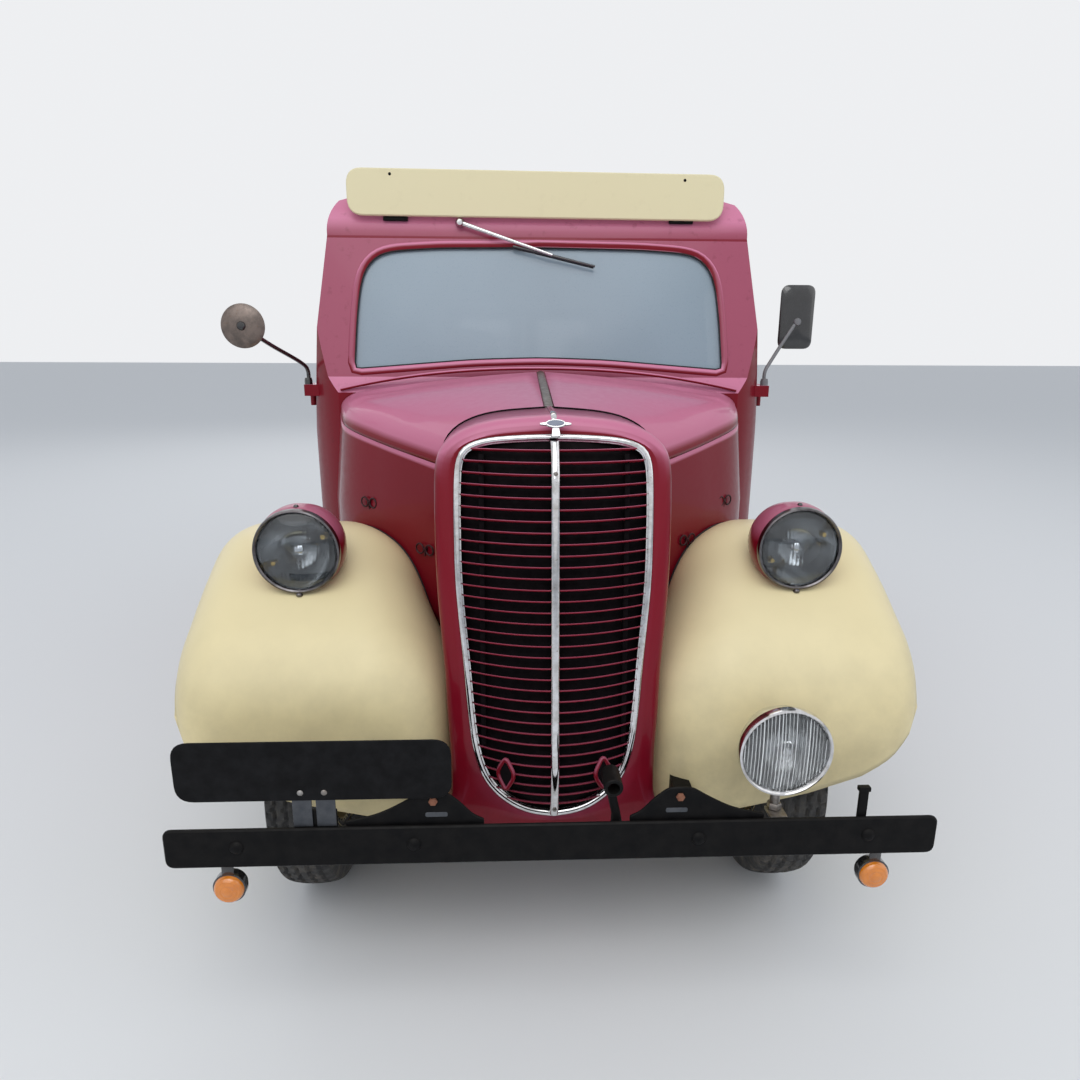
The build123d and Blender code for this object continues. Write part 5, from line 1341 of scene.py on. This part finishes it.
# Rear bumper, lamps, running boards' ribs
tail = Piece("rear_bumper_blade", BLACK, STEEL)
tail.add(sheet_of(rounded(rectangle(-640, 640, 440, 520), 16, 5), upright(1968), 12, 3))
for sign in (1, -1):
    tail.add(block(*sorted((sign * 301, sign * 344)), 1806, 1968, 456, 474, 1.5))
for x in (-322, 322):
    tail.add(turned([(0, 0.0), (12, -0.4), (14, -3), (14.5, -5)], (x, 1980, 480), BACKWARD, 24), 1)
tail.build(replaces=("rear_bumper",), slot="chassis_black")
rear_lamps = Piece("rear_lamp_set", RED, CHROME, GLOSS)
for x in (605, -605):
    at = (x, BODY_REAR_Y, 620)
    rear_lamps.add(turned([
        (0, 37), (10, 36.6), (12, 35), (15, 36), (20, 35), (22, 33), (25, 33), (29, 29), (32, 22), (33, 12),
    ], at, BACKWARD, 48))
    rear_lamps.add(turned([(33, 14), (35.8, 12), (35.8, 4), (34, -4)], at, BACKWARD, 48), 1)
    rear_lamps.add(turned([(35, 4), (35.9, 2), (35.9, -18), (20, -20)], at, BACKWARD, 40), 2)
rear_lamps.build(replaces=("rear_lamps",), slot="red_lens")

boards = Piece("running_board_ribs", SEAL)
for sign in (1, -1):
    for k in range(7):
        x = sign * (684 + k * 17)
        boards.add(block(x - 3.5, x + 3.5, yf(540), REAR_AXLE_Y - 432, 498.4, 501.5, 1))
boards.build(slot="cream_paint")

# Camera, floor and light; the camera's place, angles and focal length were fitted to the photo
scene = bpy.context.scene
scene.view_settings.view_transform = "Standard"
CAMERA_AT = (-0.090, -3.283, 1.426)
YAW, PITCH, ROLL = radians(2.28), radians(14.38), radians(0.27)
FOCAL_PIXELS = 757.0
PHOTO_PIXELS = 1080.0
SENSOR_WIDTH = 36.0
cam_data = bpy.data.cameras.new("camera")
cam = bpy.data.objects.new("camera", cam_data)
scene.collection.objects.link(cam)
scene.camera = cam
cam_data.sensor_width = SENSOR_WIDTH
cam_data.sensor_fit = "HORIZONTAL"
cam_data.lens = FOCAL_PIXELS / PHOTO_PIXELS * SENSOR_WIDTH
cam_data.clip_start = 0.05
cam_data.clip_end = 200.0
forward = Vector((sin(YAW) * cos(PITCH), cos(YAW) * cos(PITCH), -sin(PITCH)))
across = Vector((cos(YAW), -sin(YAW), 0))
down = forward.cross(across)
across_rolled = across * cos(ROLL) - down * sin(ROLL)
down_rolled = across * sin(ROLL) + down * cos(ROLL)
turn = Matrix((across_rolled, -down_rolled, -forward)).transposed()
cam.matrix_world = Matrix.Translation(CAMERA_AT) @ turn.to_4x4()

floor_mesh = bpy.data.meshes.new("studio_floor")
bm = bmesh.new()
bmesh.ops.create_grid(bm, x_segments=1, y_segments=1, size=60)
bm.to_mesh(floor_mesh)
bm.free()
ground = bpy.data.objects.new("studio_floor", floor_mesh)
ground.location.z = -0.0005
scene.collection.objects.link(ground)
pale, nt = new_material("floor_pale")
shade(nt, (0.78, 0.78, 0.775, 1), 0.9, {})
floor_mesh.materials.append(pale)

world = bpy.data.worlds.new("world")
scene.world = world
world.use_nodes = True
nt = world.node_tree
nt.nodes.clear()
sky = node(nt, "Background", {"Color": (0.80, 0.86, 0.95, 1), "Strength": 0.65})
shown = node(nt, "Background", {"Color": (0.90, 0.91, 0.93, 1), "Strength": 0.95})
path = node(nt, "LightPath", {}).outputs
seen = path["Is Camera Ray"]
for other in ("Is Glossy Ray", "Is Transmission Ray"):
    seen = node(nt, "Math", {0: seen, 1: path[other]}, operation="ADD").outputs[0]
choose = node(nt, "MixShader", {0: seen, 1: sky.outputs[0], 2: shown.outputs[0]})
node(nt, "OutputWorld", {0: choose.outputs[0]})

# Soft lamps: place, what they point at, size and power
for name, at, target, size, energy in (
    ("key", (-2.5, -7.5, 7.5), (0, -0.5, 0.8), 10.0, 270),
    ("front", (0, -4.6, 5.2), (0, -1.5, 0.8), 4.0, 68),
    ("fill", (6.5, -3.0, 5.0), (0, 0, 0.8), 8.0, 70),
    ("back", (-1.5, 7.0, 7.0), (0, 0, 1.0), 9.0, 140),
):
    data = bpy.data.lights.new(name, "AREA")
    data.energy = energy
    data.size = size
    data.shape = "DISK"
    light = bpy.data.objects.new(name, data)
    scene.collection.objects.link(light)
    light.location = at
    light.rotation_euler = (Vector(target) - Vector(at)).to_track_quat("-Z", "Y").to_euler()
